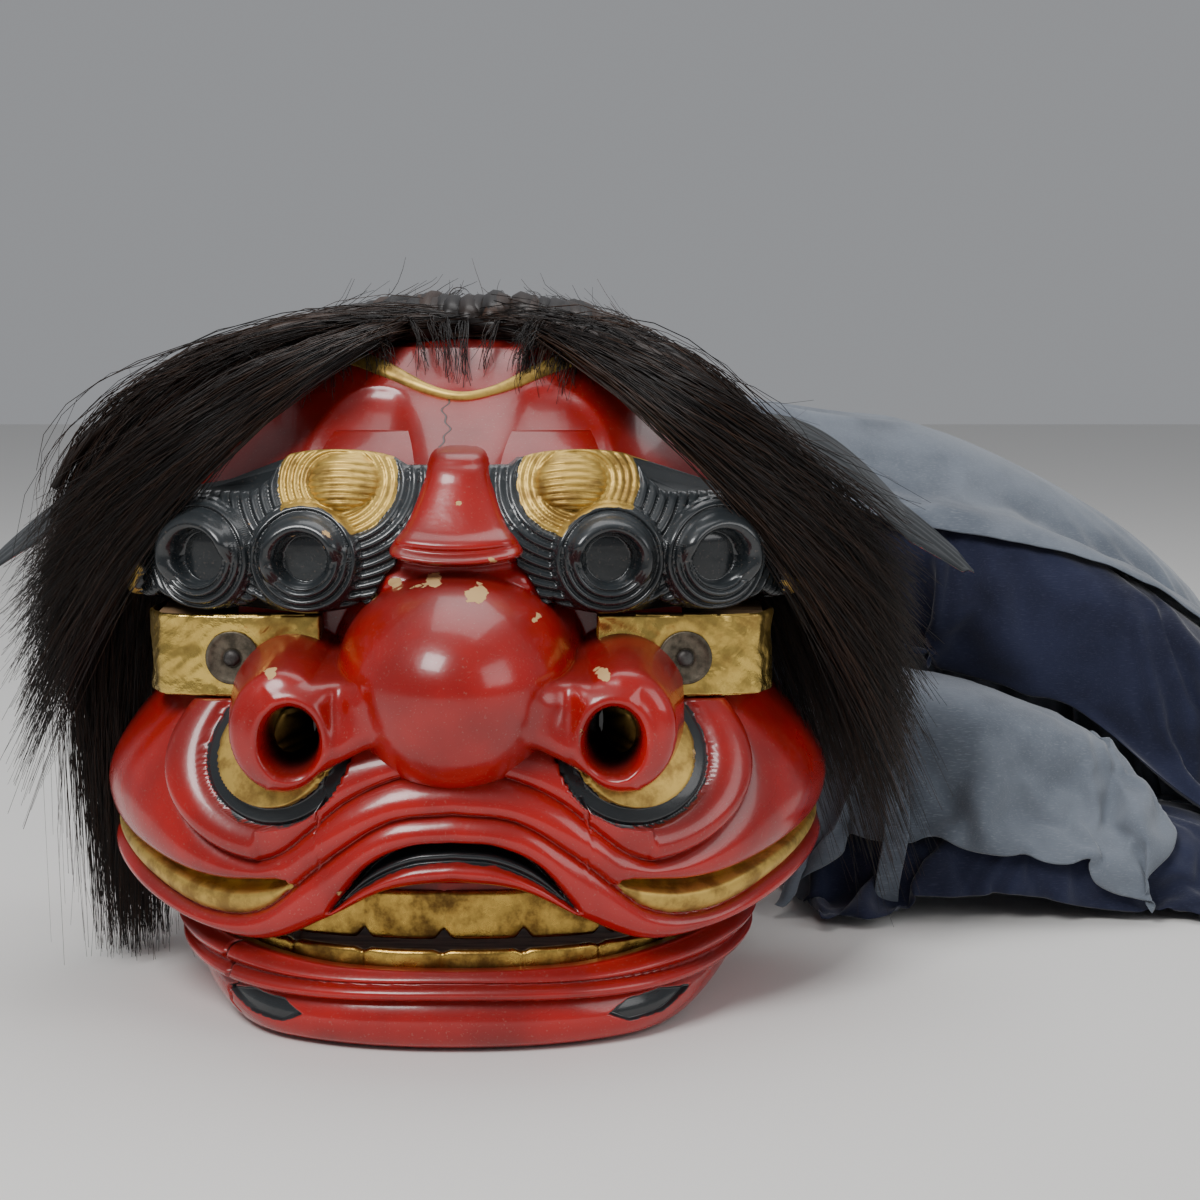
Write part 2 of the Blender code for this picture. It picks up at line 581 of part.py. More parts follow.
def make_mane():
    """The strip that the mane is sewn to, and plain solids for the hair on the crown and at both sides."""
    swings = np.radians(np.linspace(48, 132, 15))
    lifts = (math.radians(80), math.radians(90), math.pi / 2 + 0.08)
    front = [cranium(lift + 0 * swings, swings, 0.0012 + HAIR_STRIP_THICKNESS) for lift in lifts]
    back = [cranium(lift + 0 * swings, swings, 0.0012) for lift in lifts]
    slab("hair_strip", np.array(front), np.array(back), LEATHER)
    swings = np.radians(np.linspace(58, 122, 13))
    lifts = [math.radians(79), math.radians(90), math.pi / 2 + 0.25, math.pi / 2 + 0.55, math.pi / 2 + 0.80]
    swell = [0.8, 1.0, 1.0, 0.9, 0.6]
    low = 0.0012 + HAIR_STRIP_THICKNESS + LOOSE
    front = [cranium(lift + 0 * swings, swings, low + HAIR_THICKNESS * s) for lift, s in zip(lifts, swell)]
    back = [cranium(lift + 0 * swings, swings, low) for lift in lifts]
    slab("hair_crown", np.array(front), np.array(back), HORSEHAIR)
    # Each lock hangs along a spine given as (out past the cranium, back, up, half thickness, half breadth).
    left = [
        (-0.032, -0.010, 0.296, 0.008, 0.018),
        (0.000, -0.016, 0.278, 0.014, 0.030),
        (0.035, -0.014, 0.245, 0.018, 0.034),
        (0.056, -0.006, 0.200, 0.017, 0.030),
        (0.064, 0.004, 0.150, 0.016, 0.026),
        (0.062, 0.010, 0.090, 0.014, 0.022),
        (0.056, 0.010, 0.030, 0.009, 0.014),
        (0.053, 0.010, 0.006, 0.004, 0.006),
    ]
    right = [
        (-0.032, -0.010, 0.296, 0.008, 0.018),
        (-0.004, -0.012, 0.276, 0.010, 0.022),
        (0.022, -0.004, 0.248, 0.013, 0.024),
        (0.042, 0.000, 0.205, 0.013, 0.022),
        (0.055, 0.014, 0.160, 0.012, 0.020),
        (0.066, 0.028, 0.120, 0.008, 0.014),
        (0.072, 0.034, 0.095, 0.004, 0.006),
    ]
    for side, suffix, spine in ((-1, "left", left), (1, "right", right)):
        rings = []
        for out_x, y, z, thick, broad in spine:
            turn = math.radians(40) * smoothstep(-z, -0.30, -0.20)
            ring = []
            for step in range(12):
                a = 2 * math.pi * step / 12
                out, fore = thick * math.cos(a), broad * math.sin(a)
                x = CRANIUM_HALF_WIDTH + out_x + out * math.sin(turn + 0.87)
                ring.append((side * x, y + fore, z + out * math.cos(turn + 0.87)))
            rings.append(ring)
        loft("hair_" + suffix, rings, HORSEHAIR)


def make_rear_trim():
    """The batten that nails the cloth round the open rear of the head, its tacks, and the cloth's collar."""
    swings = np.radians(np.linspace(4, 176, 29))

    def arch(y, offset):
        lift = math.pi / 2 + (y - CRANIUM_MID_Y) / (REAR_RIM_Y - CRANIUM_MID_Y)
        points = cranium(min(lift, math.pi / 2 + 1) + 0 * swings, swings, offset)
        points[:, 1] = y
        return points

    cloth_low, cloth_high = LOOSE, LOOSE + CLOTH_THICKNESS
    ys = (COLLAR_Y[0], 0.145, 0.158, 0.176, COLLAR_Y[1])
    slab(
        "cloth_collar",
        np.array([arch(y, cloth_high) for y in ys]),
        np.array([arch(y, cloth_low) for y in ys]),
        GREY_CLOTH,
    )
    batten_low = cloth_high + GAP + 0.0003
    slab(
        "rim_batten",
        np.array([arch(y, batten_low + BATTEN_THICKNESS) for y in BATTEN_Y]),
        np.array([arch(y, batten_low) for y in BATTEN_Y]),
        BARE_WOOD,
    )
    middle_y = sum(BATTEN_Y) / 2
    lift = math.pi / 2 + (middle_y - CRANIUM_MID_Y) / (REAR_RIM_Y - CRANIUM_MID_Y)
    for number, degrees in enumerate(np.linspace(16, 164, TACK_COUNT), 1):
        here, near = (cranium(lift, math.radians(degrees + d), batten_low + BATTEN_THICKNESS) for d in (0, 0.5))
        along = Vector(near - here).normalized()
        normal = along.cross(Vector((0, 1, 0))).normalized()
        if normal.dot(Vector((here[0], 0, here[2] - CRANIUM_SPRING_Z))) < 0:
            normal = -normal
        centre = Vector((here[0], middle_y, here[2])) + normal * (TACK_HEIGHT / 2 + GAP)
        cylinder(f"cloth_tack_{number}", centre, normal, TACK_RADIUS, TACK_HEIGHT, IRON, 10, TACK_RADIUS * 0.5)


def make_rods():
    """The hinge rod with its locking pegs, and the grip that the dancer holds the upper head by."""
    across = (1, 0, 0)
    rod_half = CRANIUM_HALF_WIDTH + ROD_OVERHANG
    rod = cylinder("hinge_rod", (0, HINGE_Y, HINGE_Z), across, HINGE_ROD_RADIUS, 2 * rod_half, BARE_WOOD, 24)
    for side, suffix in ((-1, "left"), (1, "right")):
        at = (side * (CRANIUM_HALF_WIDTH + ROD_OVERHANG / 2), HINGE_Y, HINGE_Z)
        cut(rod, cylinder("peg_bore_" + suffix, at, (0, 0, 1), PEG_RADIUS + GAP, 0.04, segments=16))
        cylinder("hinge_peg_" + suffix, at, (0, 0, 1), PEG_RADIUS, PEG_LENGTH, BARE_WOOD, 12)
    grip_half = CRANIUM_HALF_WIDTH - 0.002
    grip_at = (0, UPPER_GRIP_Y, UPPER_GRIP_Z)
    cylinder("upper_grip", grip_at, across, GRIP_RADIUS, 2 * (grip_half - 0.012), BARE_WOOD, 20)


# ---------------------------------------------------------------- the lower jaw
def jaw_rim(x):
    """Height of the lower lip: a little lower at its middle, rising to the corners of the mouth."""
    return JAW_RIM_Z - 0.004 + 0.006 * smoothstep(np.abs(x), 0.05, 0.14)


def jaw_taper(angle, z, most):
    """How far the jaw's side draws in below its lip: nothing at the chin, the most at the table."""
    side = smoothstep(abs(angle), math.radians(30), math.radians(75))
    return most * side * (max(JAW_RIM_Z - z, 0) / JAW_RIM_Z) ** 1.5


def make_lower_jaw():
    """The carved lower jaw: a wall bent round the mouth, with a lip, a groove and a chin on its outer side."""
    sections = []
    for angle in JAW_ANGLES:
        top = jaw_rim(lip_point(angle, JAW_PLAN, 0)[0])
        face = [
            (-0.003, 0.0),
            (0.002, 0.008),
            (0.005, 0.015),
            (0.002, 0.019),
            (0.0065, 0.023),
            (0.0060, 0.029),
            (-0.001, top - 0.002),
        ]
        profile = [(out - jaw_taper(angle, z, JAW_TAPER), z) for out, z in face]
        profile += [
            (-JAW_LIP + 0.001, top),
            (-JAW_LIP, JAW_LEDGE_Z),
            (-JAW_WALL, JAW_LEDGE_Z),
            (-JAW_WALL - jaw_taper(angle, 0, JAW_INNER_TAPER), 0.0),
        ]
        sections.append(lip_ring(angle, JAW_PLAN, profile))
    return loft("lower_jaw", sections, RED_LACQUER)


def make_jaw_inside():
    """The floor board, the two hinge arms and the grip inside the lower jaw."""
    angles = JAW_ANGLES[4:-4]
    edge = [lip_point(a, JAW_PLAN, -JAW_WALL - LOOSE - jaw_taper(a, 0, JAW_INNER_TAPER)) for a in angles]
    tail_x = ARM_INNER_X + ARM_THICKNESS - LOOSE
    plate("jaw_floor", edge + [(tail_x, FLOOR_TAIL_Y), (-tail_x, FLOOR_TAIL_Y)], 0.0, FLOOR_BOARD, BARE_WOOD)
    low = FLOOR_BOARD + GAP
    head = np.radians(np.linspace(115, -75, 10))
    rounded = [(HINGE_Y + 0.014 * math.cos(a), HINGE_Z + 0.014 * math.sin(a)) for a in head]
    foot = [(-0.060, low), (-0.060, 0.030), (-0.020, 0.040), (0.040, 0.060)]
    outline = foot + rounded + [(0.060, 0.035), (FLOOR_TAIL_Y - 0.002, low)]
    for side, suffix in ((-1, "left"), (1, "right")):
        faces = [side * (ARM_INNER_X + t) for t in (0, ARM_THICKNESS)]
        arm = loft("jaw_arm_" + suffix, [[(x, y, z) for y, z in outline] for x in faces], BARE_WOOD)
        at = (0, HINGE_Y, HINGE_Z)
        cut(arm, cylinder("arm_bore_" + suffix, at, (1, 0, 0), HINGE_ROD_RADIUS + HINGE_PLAY, 0.4, segments=24))
    half = ARM_INNER_X - GAP
    cylinder("lower_grip", (0, LOWER_GRIP_Y, LOWER_GRIP_Z), (1, 0, 0), GRIP_RADIUS, 2 * half, BARE_WOOD, 20)


# ---------------------------------------------------------------- the cloth body, heaped on the table
def heap(name, stations, finish):
    """A heap of cloth as one plain solid: rounded-box sections, each (x from its start, y0, y1, z0, z1)."""
    rings = []
    for x, y0, y1, z0, z1 in stations:
        ring = []
        for step in range(16):
            a = 2 * math.pi * (step + 0.5) / 16
            across, up = power(math.cos(a), 0.6), power(math.sin(a), 0.6)
            y, z = (y0 + y1) / 2 + across * (y1 - y0) / 2, (z0 + z1) / 2 + up * (z1 - z0) / 2
            ring.append((CLOTH_START_X + x, y, z))
        rings.append(ring)
    return loft(name, rings, finish)


def make_cloth():
    heap(
        "cloth_back",
        [
            (0.008, 0.215, 0.300, 0.020, 0.235),
            (0.030, 0.196, 0.335, 0.0, 0.262),
            (0.080, 0.196, 0.352, 0.0, 0.262),
            (0.140, 0.196, 0.355, 0.0, 0.240),
            (0.200, 0.200, 0.350, 0.0, 0.208),
            (0.260, 0.205, 0.335, 0.0, 0.165),
            (0.290, 0.225, 0.310, 0.010, 0.115),
        ],
        GREY_CLOTH,
    )
    heap(
        "cloth_side",
        [
            (0.015, 0.176, 0.192, 0.140, 0.190),
            (0.055, 0.174, 0.193, 0.132, 0.206),
            (0.130, 0.160, 0.193, 0.120, 0.200),
            (0.200, 0.140, 0.193, 0.085, 0.172),
            (0.260, 0.130, 0.193, 0.045, 0.130),
            (0.286, 0.150, 0.190, 0.040, 0.090),
        ],
        NAVY_CLOTH,
    )
    heap(
        "cloth_lining",
        [
            (0.025, 0.090, 0.150, 0.060, 0.105),
            (0.055, 0.072, 0.168, 0.050, 0.124),
            (0.110, 0.066, 0.155, 0.046, 0.116),
            (0.160, 0.080, 0.145, 0.046, 0.096),
            (0.192, 0.095, 0.128, 0.048, 0.075),
        ],
        GREY_CLOTH,
    )
    heap(
        "cloth_base",
        [
            (0.018, 0.085, 0.180, 0.006, 0.036),
            (0.050, 0.062, 0.190, 0.0, 0.044),
            (0.130, 0.052, 0.190, 0.0, 0.043),
            (0.210, 0.060, 0.190, 0.0, 0.040),
            (0.260, 0.080, 0.185, 0.0, 0.034),
        ],
        NAVY_CLOTH,
    )
    left, right, front, back = CLOTH_START_X + 0.054, CLOTH_START_X + 0.068, 0.0520, 0.0545
    plate("cloth_tie", [(left, front), (right, front), (right, back), (left, back)], 0.004, 0.085, GREY_CLOTH)


make_cranium_cutter()
make_head_shell()
make_muzzle()
make_nose()
for hand, label in ((-1, "left"), (1, "right")):
    make_brow(hand, "brow_" + label)
    make_eye(hand, label)
    make_ear(hand, label)
make_forehead_band()
make_palate()
make_teeth()
make_mane()
make_rear_trim()
make_rods()
make_lower_jaw()
make_jaw_inside()
make_cloth()
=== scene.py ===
# %% [markdown]
# # A lion dance head
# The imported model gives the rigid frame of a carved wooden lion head: a jaw that stands on the table, an
# upper head that opens on a hinge rod, and two loose ears. This script gives every piece its real surface.
# The carved pieces become dense reliefs worked out with numpy, the mane becomes strands, and the cloth is
# let fall.

import json
import math

import bmesh
import bpy
import numpy as np
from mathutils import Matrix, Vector

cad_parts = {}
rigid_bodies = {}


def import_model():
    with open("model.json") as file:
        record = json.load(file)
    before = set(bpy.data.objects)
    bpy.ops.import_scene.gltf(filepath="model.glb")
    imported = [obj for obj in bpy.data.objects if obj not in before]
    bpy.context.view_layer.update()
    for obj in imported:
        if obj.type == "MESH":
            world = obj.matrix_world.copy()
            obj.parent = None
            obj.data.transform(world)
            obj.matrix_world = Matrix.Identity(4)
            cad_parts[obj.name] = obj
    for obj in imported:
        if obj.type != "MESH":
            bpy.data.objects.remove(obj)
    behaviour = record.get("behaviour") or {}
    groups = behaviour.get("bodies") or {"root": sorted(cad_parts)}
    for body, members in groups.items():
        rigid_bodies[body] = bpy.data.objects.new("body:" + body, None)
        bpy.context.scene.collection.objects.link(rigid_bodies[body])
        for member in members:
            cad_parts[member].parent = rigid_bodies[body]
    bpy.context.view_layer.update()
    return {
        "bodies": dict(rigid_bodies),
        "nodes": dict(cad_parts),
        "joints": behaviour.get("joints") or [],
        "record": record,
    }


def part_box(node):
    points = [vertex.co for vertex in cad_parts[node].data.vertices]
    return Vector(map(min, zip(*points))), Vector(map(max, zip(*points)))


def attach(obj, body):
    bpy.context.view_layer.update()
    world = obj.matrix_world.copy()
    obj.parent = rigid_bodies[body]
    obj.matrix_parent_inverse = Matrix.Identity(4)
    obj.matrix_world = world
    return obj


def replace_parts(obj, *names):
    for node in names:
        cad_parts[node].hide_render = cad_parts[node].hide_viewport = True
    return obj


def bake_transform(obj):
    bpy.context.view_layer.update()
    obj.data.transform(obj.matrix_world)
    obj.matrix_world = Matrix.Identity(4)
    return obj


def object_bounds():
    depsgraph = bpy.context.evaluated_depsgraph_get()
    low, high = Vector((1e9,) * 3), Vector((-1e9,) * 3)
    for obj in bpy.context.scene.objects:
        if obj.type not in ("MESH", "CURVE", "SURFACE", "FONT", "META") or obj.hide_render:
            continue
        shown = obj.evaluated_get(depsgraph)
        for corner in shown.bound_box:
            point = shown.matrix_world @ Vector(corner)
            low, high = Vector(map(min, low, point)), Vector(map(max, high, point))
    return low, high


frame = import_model()

# %% [markdown]
# ## Camera, floor and light
# A long lens a little over a metre away keeps the face from bulging. It looks slightly down, and stands to
# the right of the face's middle, because the cloth lies on that side. The floor is pale and the lights are
# large, since lacquer shows its shape by wide soft reflections, and a small lamp would only make a dot.

# %% Camera
camera_data = bpy.data.cameras.new("camera")
camera_data.lens = 73
camera_data.sensor_width = 36
camera = bpy.data.objects.new("camera", camera_data)
camera.location = (0.0655, -1.22, 0.3526)
camera.rotation_euler = (math.radians(90 - 8), 0, 0)
bpy.context.scene.collection.objects.link(camera)
bpy.context.scene.camera = camera


# %% Floor and lights
def area_light(name, place, target, size, power):
    """A square soft light at a place, aimed at a target."""
    data = bpy.data.lights.new(name, "AREA")
    data.shape = "SQUARE"
    data.size = size
    data.energy = power
    light = bpy.data.objects.new(name, data)
    light.location = place
    light.rotation_euler = (Vector(target) - Vector(place)).to_track_quat("-Z", "Y").to_euler()
    bpy.context.scene.collection.objects.link(light)


area_light("key", (-0.7, -1.2, 1.7), (0, 0, 0.15), 0.8, 36)
area_light("fill", (1.5, -0.9, 0.9), (0.1, 0, 0.15), 1.0, 8)
area_light("top", (0.2, 0.5, 1.8), (0.1, 0.05, 0.1), 1.3, 16)

world = bpy.data.worlds.new("world")
bpy.context.scene.world = world
world.use_nodes = True
world.node_tree.nodes["Background"].inputs["Color"].default_value = (0.80, 0.82, 0.86, 1)
world.node_tree.nodes["Background"].inputs["Strength"].default_value = 0.38

floor_mesh = bpy.data.meshes.new("floor")
floor_mesh.from_pydata([(-4, -4, 0), (4, -4, 0), (4, 4, 0), (-4, 4, 0)], [], [(0, 1, 2, 3)])
floor = bpy.data.objects.new("floor", floor_mesh)
floor.location.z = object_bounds()[0][2] - 0.0005
bpy.context.scene.collection.objects.link(floor)

# %% [markdown]
# ## Surfaces on a grid
# Every carved piece here is a function of two parameters, worked out for a whole grid at once. One helper
# turns the grid into a mesh: it joins each point to its neighbours, and it can close the grid on itself
# both ways. Numbers that belong to the points, such as how far a point lies inside a painted patch, go
# along as attributes, so that a material can draw the patch's edge much finer than the mesh.


# %% Grid to mesh
def with_back(front, back):
    """A grid of columns across a front, closed behind by a flat back between its two outer columns."""
    return np.concatenate([front, back[:, -1:], back[:, :1]], axis=1)


def with_pad(marks, value):
    """The marks of a front, with a value for the two columns of its back."""
    return np.concatenate([marks, np.full((len(marks), 2), value)], axis=1)


def grid_piece(name, points, body, material, loop=False, flip=False, caps=False, marks=None):
    """A mesh from a grid of points, rows by columns. loop joins the last column to the first, caps closes the
    first and last rows with one face each, and flip turns the faces over. With no body it is left unattached."""
    rows, columns, _ = points.shape
    index = np.arange(rows * columns).reshape(rows, columns)
    if loop:
        index = np.concatenate([index, index[:, :1]], axis=1)
    quads = np.stack([index[:-1, :-1], index[:-1, 1:], index[1:, 1:], index[1:, :-1]], -1).reshape(-1, 4)
    if flip:
        quads = quads[:, ::-1]
    faces = quads.tolist()
    if caps:
        first, last = index[0, :columns].tolist(), index[-1, :columns].tolist()
        faces += [first if flip else first[::-1], last[::-1] if flip else last]
    mesh = bpy.data.meshes.new(name)
    mesh.from_pydata(points.reshape(-1, 3), [], faces)
    mesh.polygons.foreach_set("use_smooth", np.full(len(faces), True))
    for key, values in (marks or {}).items():
        mesh.attributes.new(key, "FLOAT", "POINT").data.foreach_set(
            "value", np.ravel(values).astype(np.float32)
        )
    mesh.materials.append(material)
    piece = bpy.data.objects.new(name, mesh)
    bpy.context.scene.collection.objects.link(piece)
    if body is not None:
        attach(piece, body)
    print(f"{name}: {len(mesh.vertices)} points, {len(faces)} faces")
    return piece


def marks_for(grid_like, **given):
    """The attributes that the lacquer reads, with values that paint nothing where none are given."""
    plain = {"black": -0.01, "gold": -0.01, "bare": -0.01, "crack": 0.01, "ridge": 0.0, "shade": 0.0}
    return {key: given.get(key, np.full(grid_like.shape, value)) for key, value in plain.items()}


def smoothstep(value, low, high):
    """0 below low, 1 above high, and an S-shaped rise between them."""
    t = np.clip((value - low) / (high - low), 0, 1)
    return t * t * (3 - 2 * t)


def soft_max(a, b, blend):
    """The larger of two heights, with a fillet of about the blend's size where they cross."""
    mix = np.clip(0.5 + (a - b) / (2 * blend), 0, 1)
    return b + (a - b) * mix + blend * mix * (1 - mix)


def power(value, exponent):
    return np.sign(value) * np.abs(value) ** exponent


def through(places, heights):
    """A smooth curve through control points: the same piecewise cubic that an animator's ease curve is."""
    places, heights = np.array(places, float), np.array(heights, float)
    slopes = np.gradient(heights, places)

    def curve(at):
        at = np.clip(at, places[0], places[-1])
        k = np.clip(np.searchsorted(places, at) - 1, 0, len(places) - 2)
        wide = places[k + 1] - places[k]
        t = (at - places[k]) / wide
        a, b = heights[k], heights[k + 1]
        rise = t * t * (3 - 2 * t)
        return a + (b - a) * rise + wide * (slopes[k] * t * (1 - t) ** 2 - slopes[k + 1] * t * t * (1 - t))

    return curve


def noise(x, y, seed, size):
    """Smooth random bumps from -1 to 1: a sum of waves in random directions, about one size across."""
    rng = np.random.default_rng(seed)
    total = 0
    for _ in range(9):
        angle, phase = rng.uniform(0, 2 * math.pi, 2)
        pitch = size * rng.uniform(0.7, 1.6)
        total = total + np.sin((x * math.cos(angle) + y * math.sin(angle)) * 2 * math.pi / pitch + phase)
    return total / 4


# %% [markdown]
# ## Finishes
# Lacquer is paint over primer over wood. Where it is knocked off, the pale ochre ground shows, with a hard
# edge. Hands and dust dull it: what faces up is darker and rougher than what faces out. The group `knocks`
# gives the mask for the first, `dust` for the second, and both are used by the red and by the black.


# %% Node helpers
def new_group(name, inputs, outputs):
    """An empty shader node group with named sockets, each (name, type, default)."""
    group = bpy.data.node_groups.new(name, "ShaderNodeTree")
    for socket_name, kind, default in inputs:
        socket = group.interface.new_socket(socket_name, in_out="INPUT", socket_type=kind)
        if default is not None:
            socket.default_value = default
    for socket_name, kind in outputs:
        group.interface.new_socket(socket_name, in_out="OUTPUT", socket_type=kind)
    entry = group.nodes.new("NodeGroupInput")
    leave = group.nodes.new("NodeGroupOutput")
    return group, entry, leave


def add(tree, kind, values=None, links=None, **settings):
    """A node of a kind in a tree, with its sockets set from values or fed from links."""
    node = tree.nodes.new(kind)
    for key, value in settings.items():
        setattr(node, key, value)
    for key, value in (values or {}).items():
        node.inputs[key].default_value = value
    for key, source in (links or {}).items():
        tree.links.new(source, node.inputs[key])
    return node


def math_node(tree, operation, a, b=None, clamp=False):
    """One arithmetic step. Each of a and b is a number or a socket."""
    node = tree.nodes.new("ShaderNodeMath")
    node.operation = operation
    node.use_clamp = clamp
    for at, value in enumerate((a, b)):
        if value is None:
            continue
        if isinstance(value, (int, float)):
            node.inputs[at].default_value = value
        else:
            tree.links.new(value, node.inputs[at])
    return node.outputs[0]


def cloud(tree, place, scale, detail, roughness=0.5):
    """Noise in the piece's own coordinates."""
    settings = {"Scale": scale, "Detail": detail, "Roughness": roughness}
    return add(tree, "ShaderNodeTexNoise", settings, {"Vector": place.outputs["Object"]})


def emboss(tree, shader, strength, distance, height):
    """Bumps the shader's normal by a height."""
    bump = add(tree, "ShaderNodeBump", {"Strength": strength, "Distance": distance}, {"Height": height})
    tree.links.new(bump.outputs["Normal"], shader.inputs["Normal"])


def ramp(tree, value, low, high):
    """0 where value is below low and 1 above high. low and high may be given either way round."""
    node = add(tree, "ShaderNodeMapRange", {"From Min": low, "From Max": high}, {"Value": value})
    node.interpolation_type = "SMOOTHSTEP"
    return node.outputs["Result"]


def mix_colour(tree, factor, a, b):
    """Colour a where factor is 0 and b where it is 1. Each of a and b is a colour or a socket."""
    node = tree.nodes.new("ShaderNodeMix")
    node.data_type = "RGBA"
    if isinstance(factor, (int, float)):
        node.inputs[0].default_value = factor
    else:
        tree.links.new(factor, node.inputs[0])
    for at, value in ((6, a), (7, b)):
        if isinstance(value, tuple):
            node.inputs[at].default_value = (*value, 1)
        else:
            tree.links.new(value, node.inputs[at])
    return node.outputs[2]


def mix_value(tree, factor, a, b):
    """Number a where factor is 0 and b where it is 1."""
    node = tree.nodes.new("ShaderNodeMix")
    node.data_type = "FLOAT"
    for at, value in ((0, factor), (2, a), (3, b)):
        if isinstance(value, (int, float)):
            node.inputs[at].default_value = value
        else:
            tree.links.new(value, node.inputs[at])
    return node.outputs[0]


# %% The shared groups
def make_knocks():
    """Where paint is knocked off: noise in patches, pushed up along ridges and by the amount asked for."""
    group, entry, leave = new_group(
        "knocks",
        [
            ("Ridge", "NodeSocketFloat", 0.0),
            ("Amount", "NodeSocketFloat", 0.0),
            ("Size", "NodeSocketFloat", 60.0),
        ],
        [("Mask", "NodeSocketFloat"), ("Rim", "NodeSocketFloat")],
    )
    place = add(group, "ShaderNodeTexCoord")
    small = add(
        group,
        "ShaderNodeTexNoise",
        {"Detail": 6, "Roughness": 0.62},
        {"Vector": place.outputs["Object"], "Scale": entry.outputs["Size"]},
    )
    wide = add(group, "ShaderNodeTexNoise", {"Scale": 16, "Detail": 2}, {"Vector": place.outputs["Object"]})
    level = math_node(
        group, "ADD", small.outputs["Fac"], math_node(group, "MULTIPLY", wide.outputs["Fac"], 0.55)
    )
    level = math_node(group, "ADD", level, math_node(group, "MULTIPLY", entry.outputs["Ridge"], 0.22))
    level = math_node(group, "ADD", level, entry.outputs["Amount"])
    group.links.new(ramp(group, level, 1.205, 1.225), leave.inputs["Mask"])
    group.links.new(ramp(group, level, 1.17, 1.215), leave.inputs["Rim"])
    return group


def make_dust():
    """How dulled a point is: more where the surface faces up, in blotches."""
    group, entry, leave = new_group(
        "dust",
        [("From", "NodeSocketFloat", 0.1), ("To", "NodeSocketFloat", 0.9)],
        [("Mask", "NodeSocketFloat"), ("Speck", "NodeSocketFloat")],
    )
    place = add(group, "ShaderNodeTexCoord")
    up = add(group, "ShaderNodeSeparateXYZ", links={"Vector": place.outputs["Normal"]})
    blotch = add(
        group,
        "ShaderNodeTexNoise",
        {"Scale": 28, "Detail": 5, "Roughness": 0.6},
        {"Vector": place.outputs["Object"]},
    )
    level = math_node(
        group,
        "ADD",
        up.outputs["Z"],
        math_node(group, "MULTIPLY", math_node(group, "SUBTRACT", blotch.outputs["Fac"], 0.5), 0.9),
    )
    node = add(
        group,
        "ShaderNodeMapRange",
        links={"Value": level, "From Min": entry.outputs["From"], "From Max": entry.outputs["To"]},
    )
    group.links.new(node.outputs["Result"], leave.inputs["Mask"])
    speck = add(group, "ShaderNodeTexNoise", {"Scale": 900, "Detail": 2}, {"Vector": place.outputs["Object"]})
    group.links.new(ramp(group, speck.outputs["Fac"], 0.63, 0.70), leave.inputs["Speck"])
    return group


def make_patch():
    """A painted patch from an attribute that holds the distance inside its edge, wavering as a brush does."""
    group, entry, leave = new_group(
        "patch",
        [("Inside", "NodeSocketFloat", 0.0), ("Waver", "NodeSocketFloat", 0.0006)],
        [("Mask", "NodeSocketFloat")],
    )
    place = add(group, "ShaderNodeTexCoord")
    wave = add(group, "ShaderNodeTexNoise", {"Scale": 170, "Detail": 4}, {"Vector": place.outputs["Object"]})
    off = math_node(
        group,
        "MULTIPLY",
        math_node(group, "SUBTRACT", wave.outputs["Fac"], 0.5),
        math_node(group, "MULTIPLY", entry.outputs["Waver"], 4.0),
    )
    level = math_node(group, "ADD", entry.outputs["Inside"], off)
    group.links.new(ramp(group, level, -0.0001, 0.0002), leave.inputs["Mask"])
    return group


knocks, dust, patch = make_knocks(), make_dust(), make_patch()


def new_material(name):
    made = bpy.data.materials.new(name)
    made.use_nodes = True
    tree = made.node_tree
    return made, tree, tree.nodes["Principled BSDF"]


def place_group(tree, group, values=None, links=None):
    node = tree.nodes.new("ShaderNodeGroup")
    node.node_tree = group
    for key, value in (values or {}).items():
        node.inputs[key].default_value = value
    for key, source in (links or {}).items():
        tree.links.new(source, node.inputs[key])
    return node


def mark(tree, name):
    return add(tree, "ShaderNodeAttribute", attribute_name=name).outputs["Fac"]


# %% Lacquer with its painted patches
OCHRE = (0.52, 0.33, 0.14)
GOLD_LEAF = (0.60, 0.40, 0.10)
GOLD_DARK = (0.30, 0.18, 0.045)


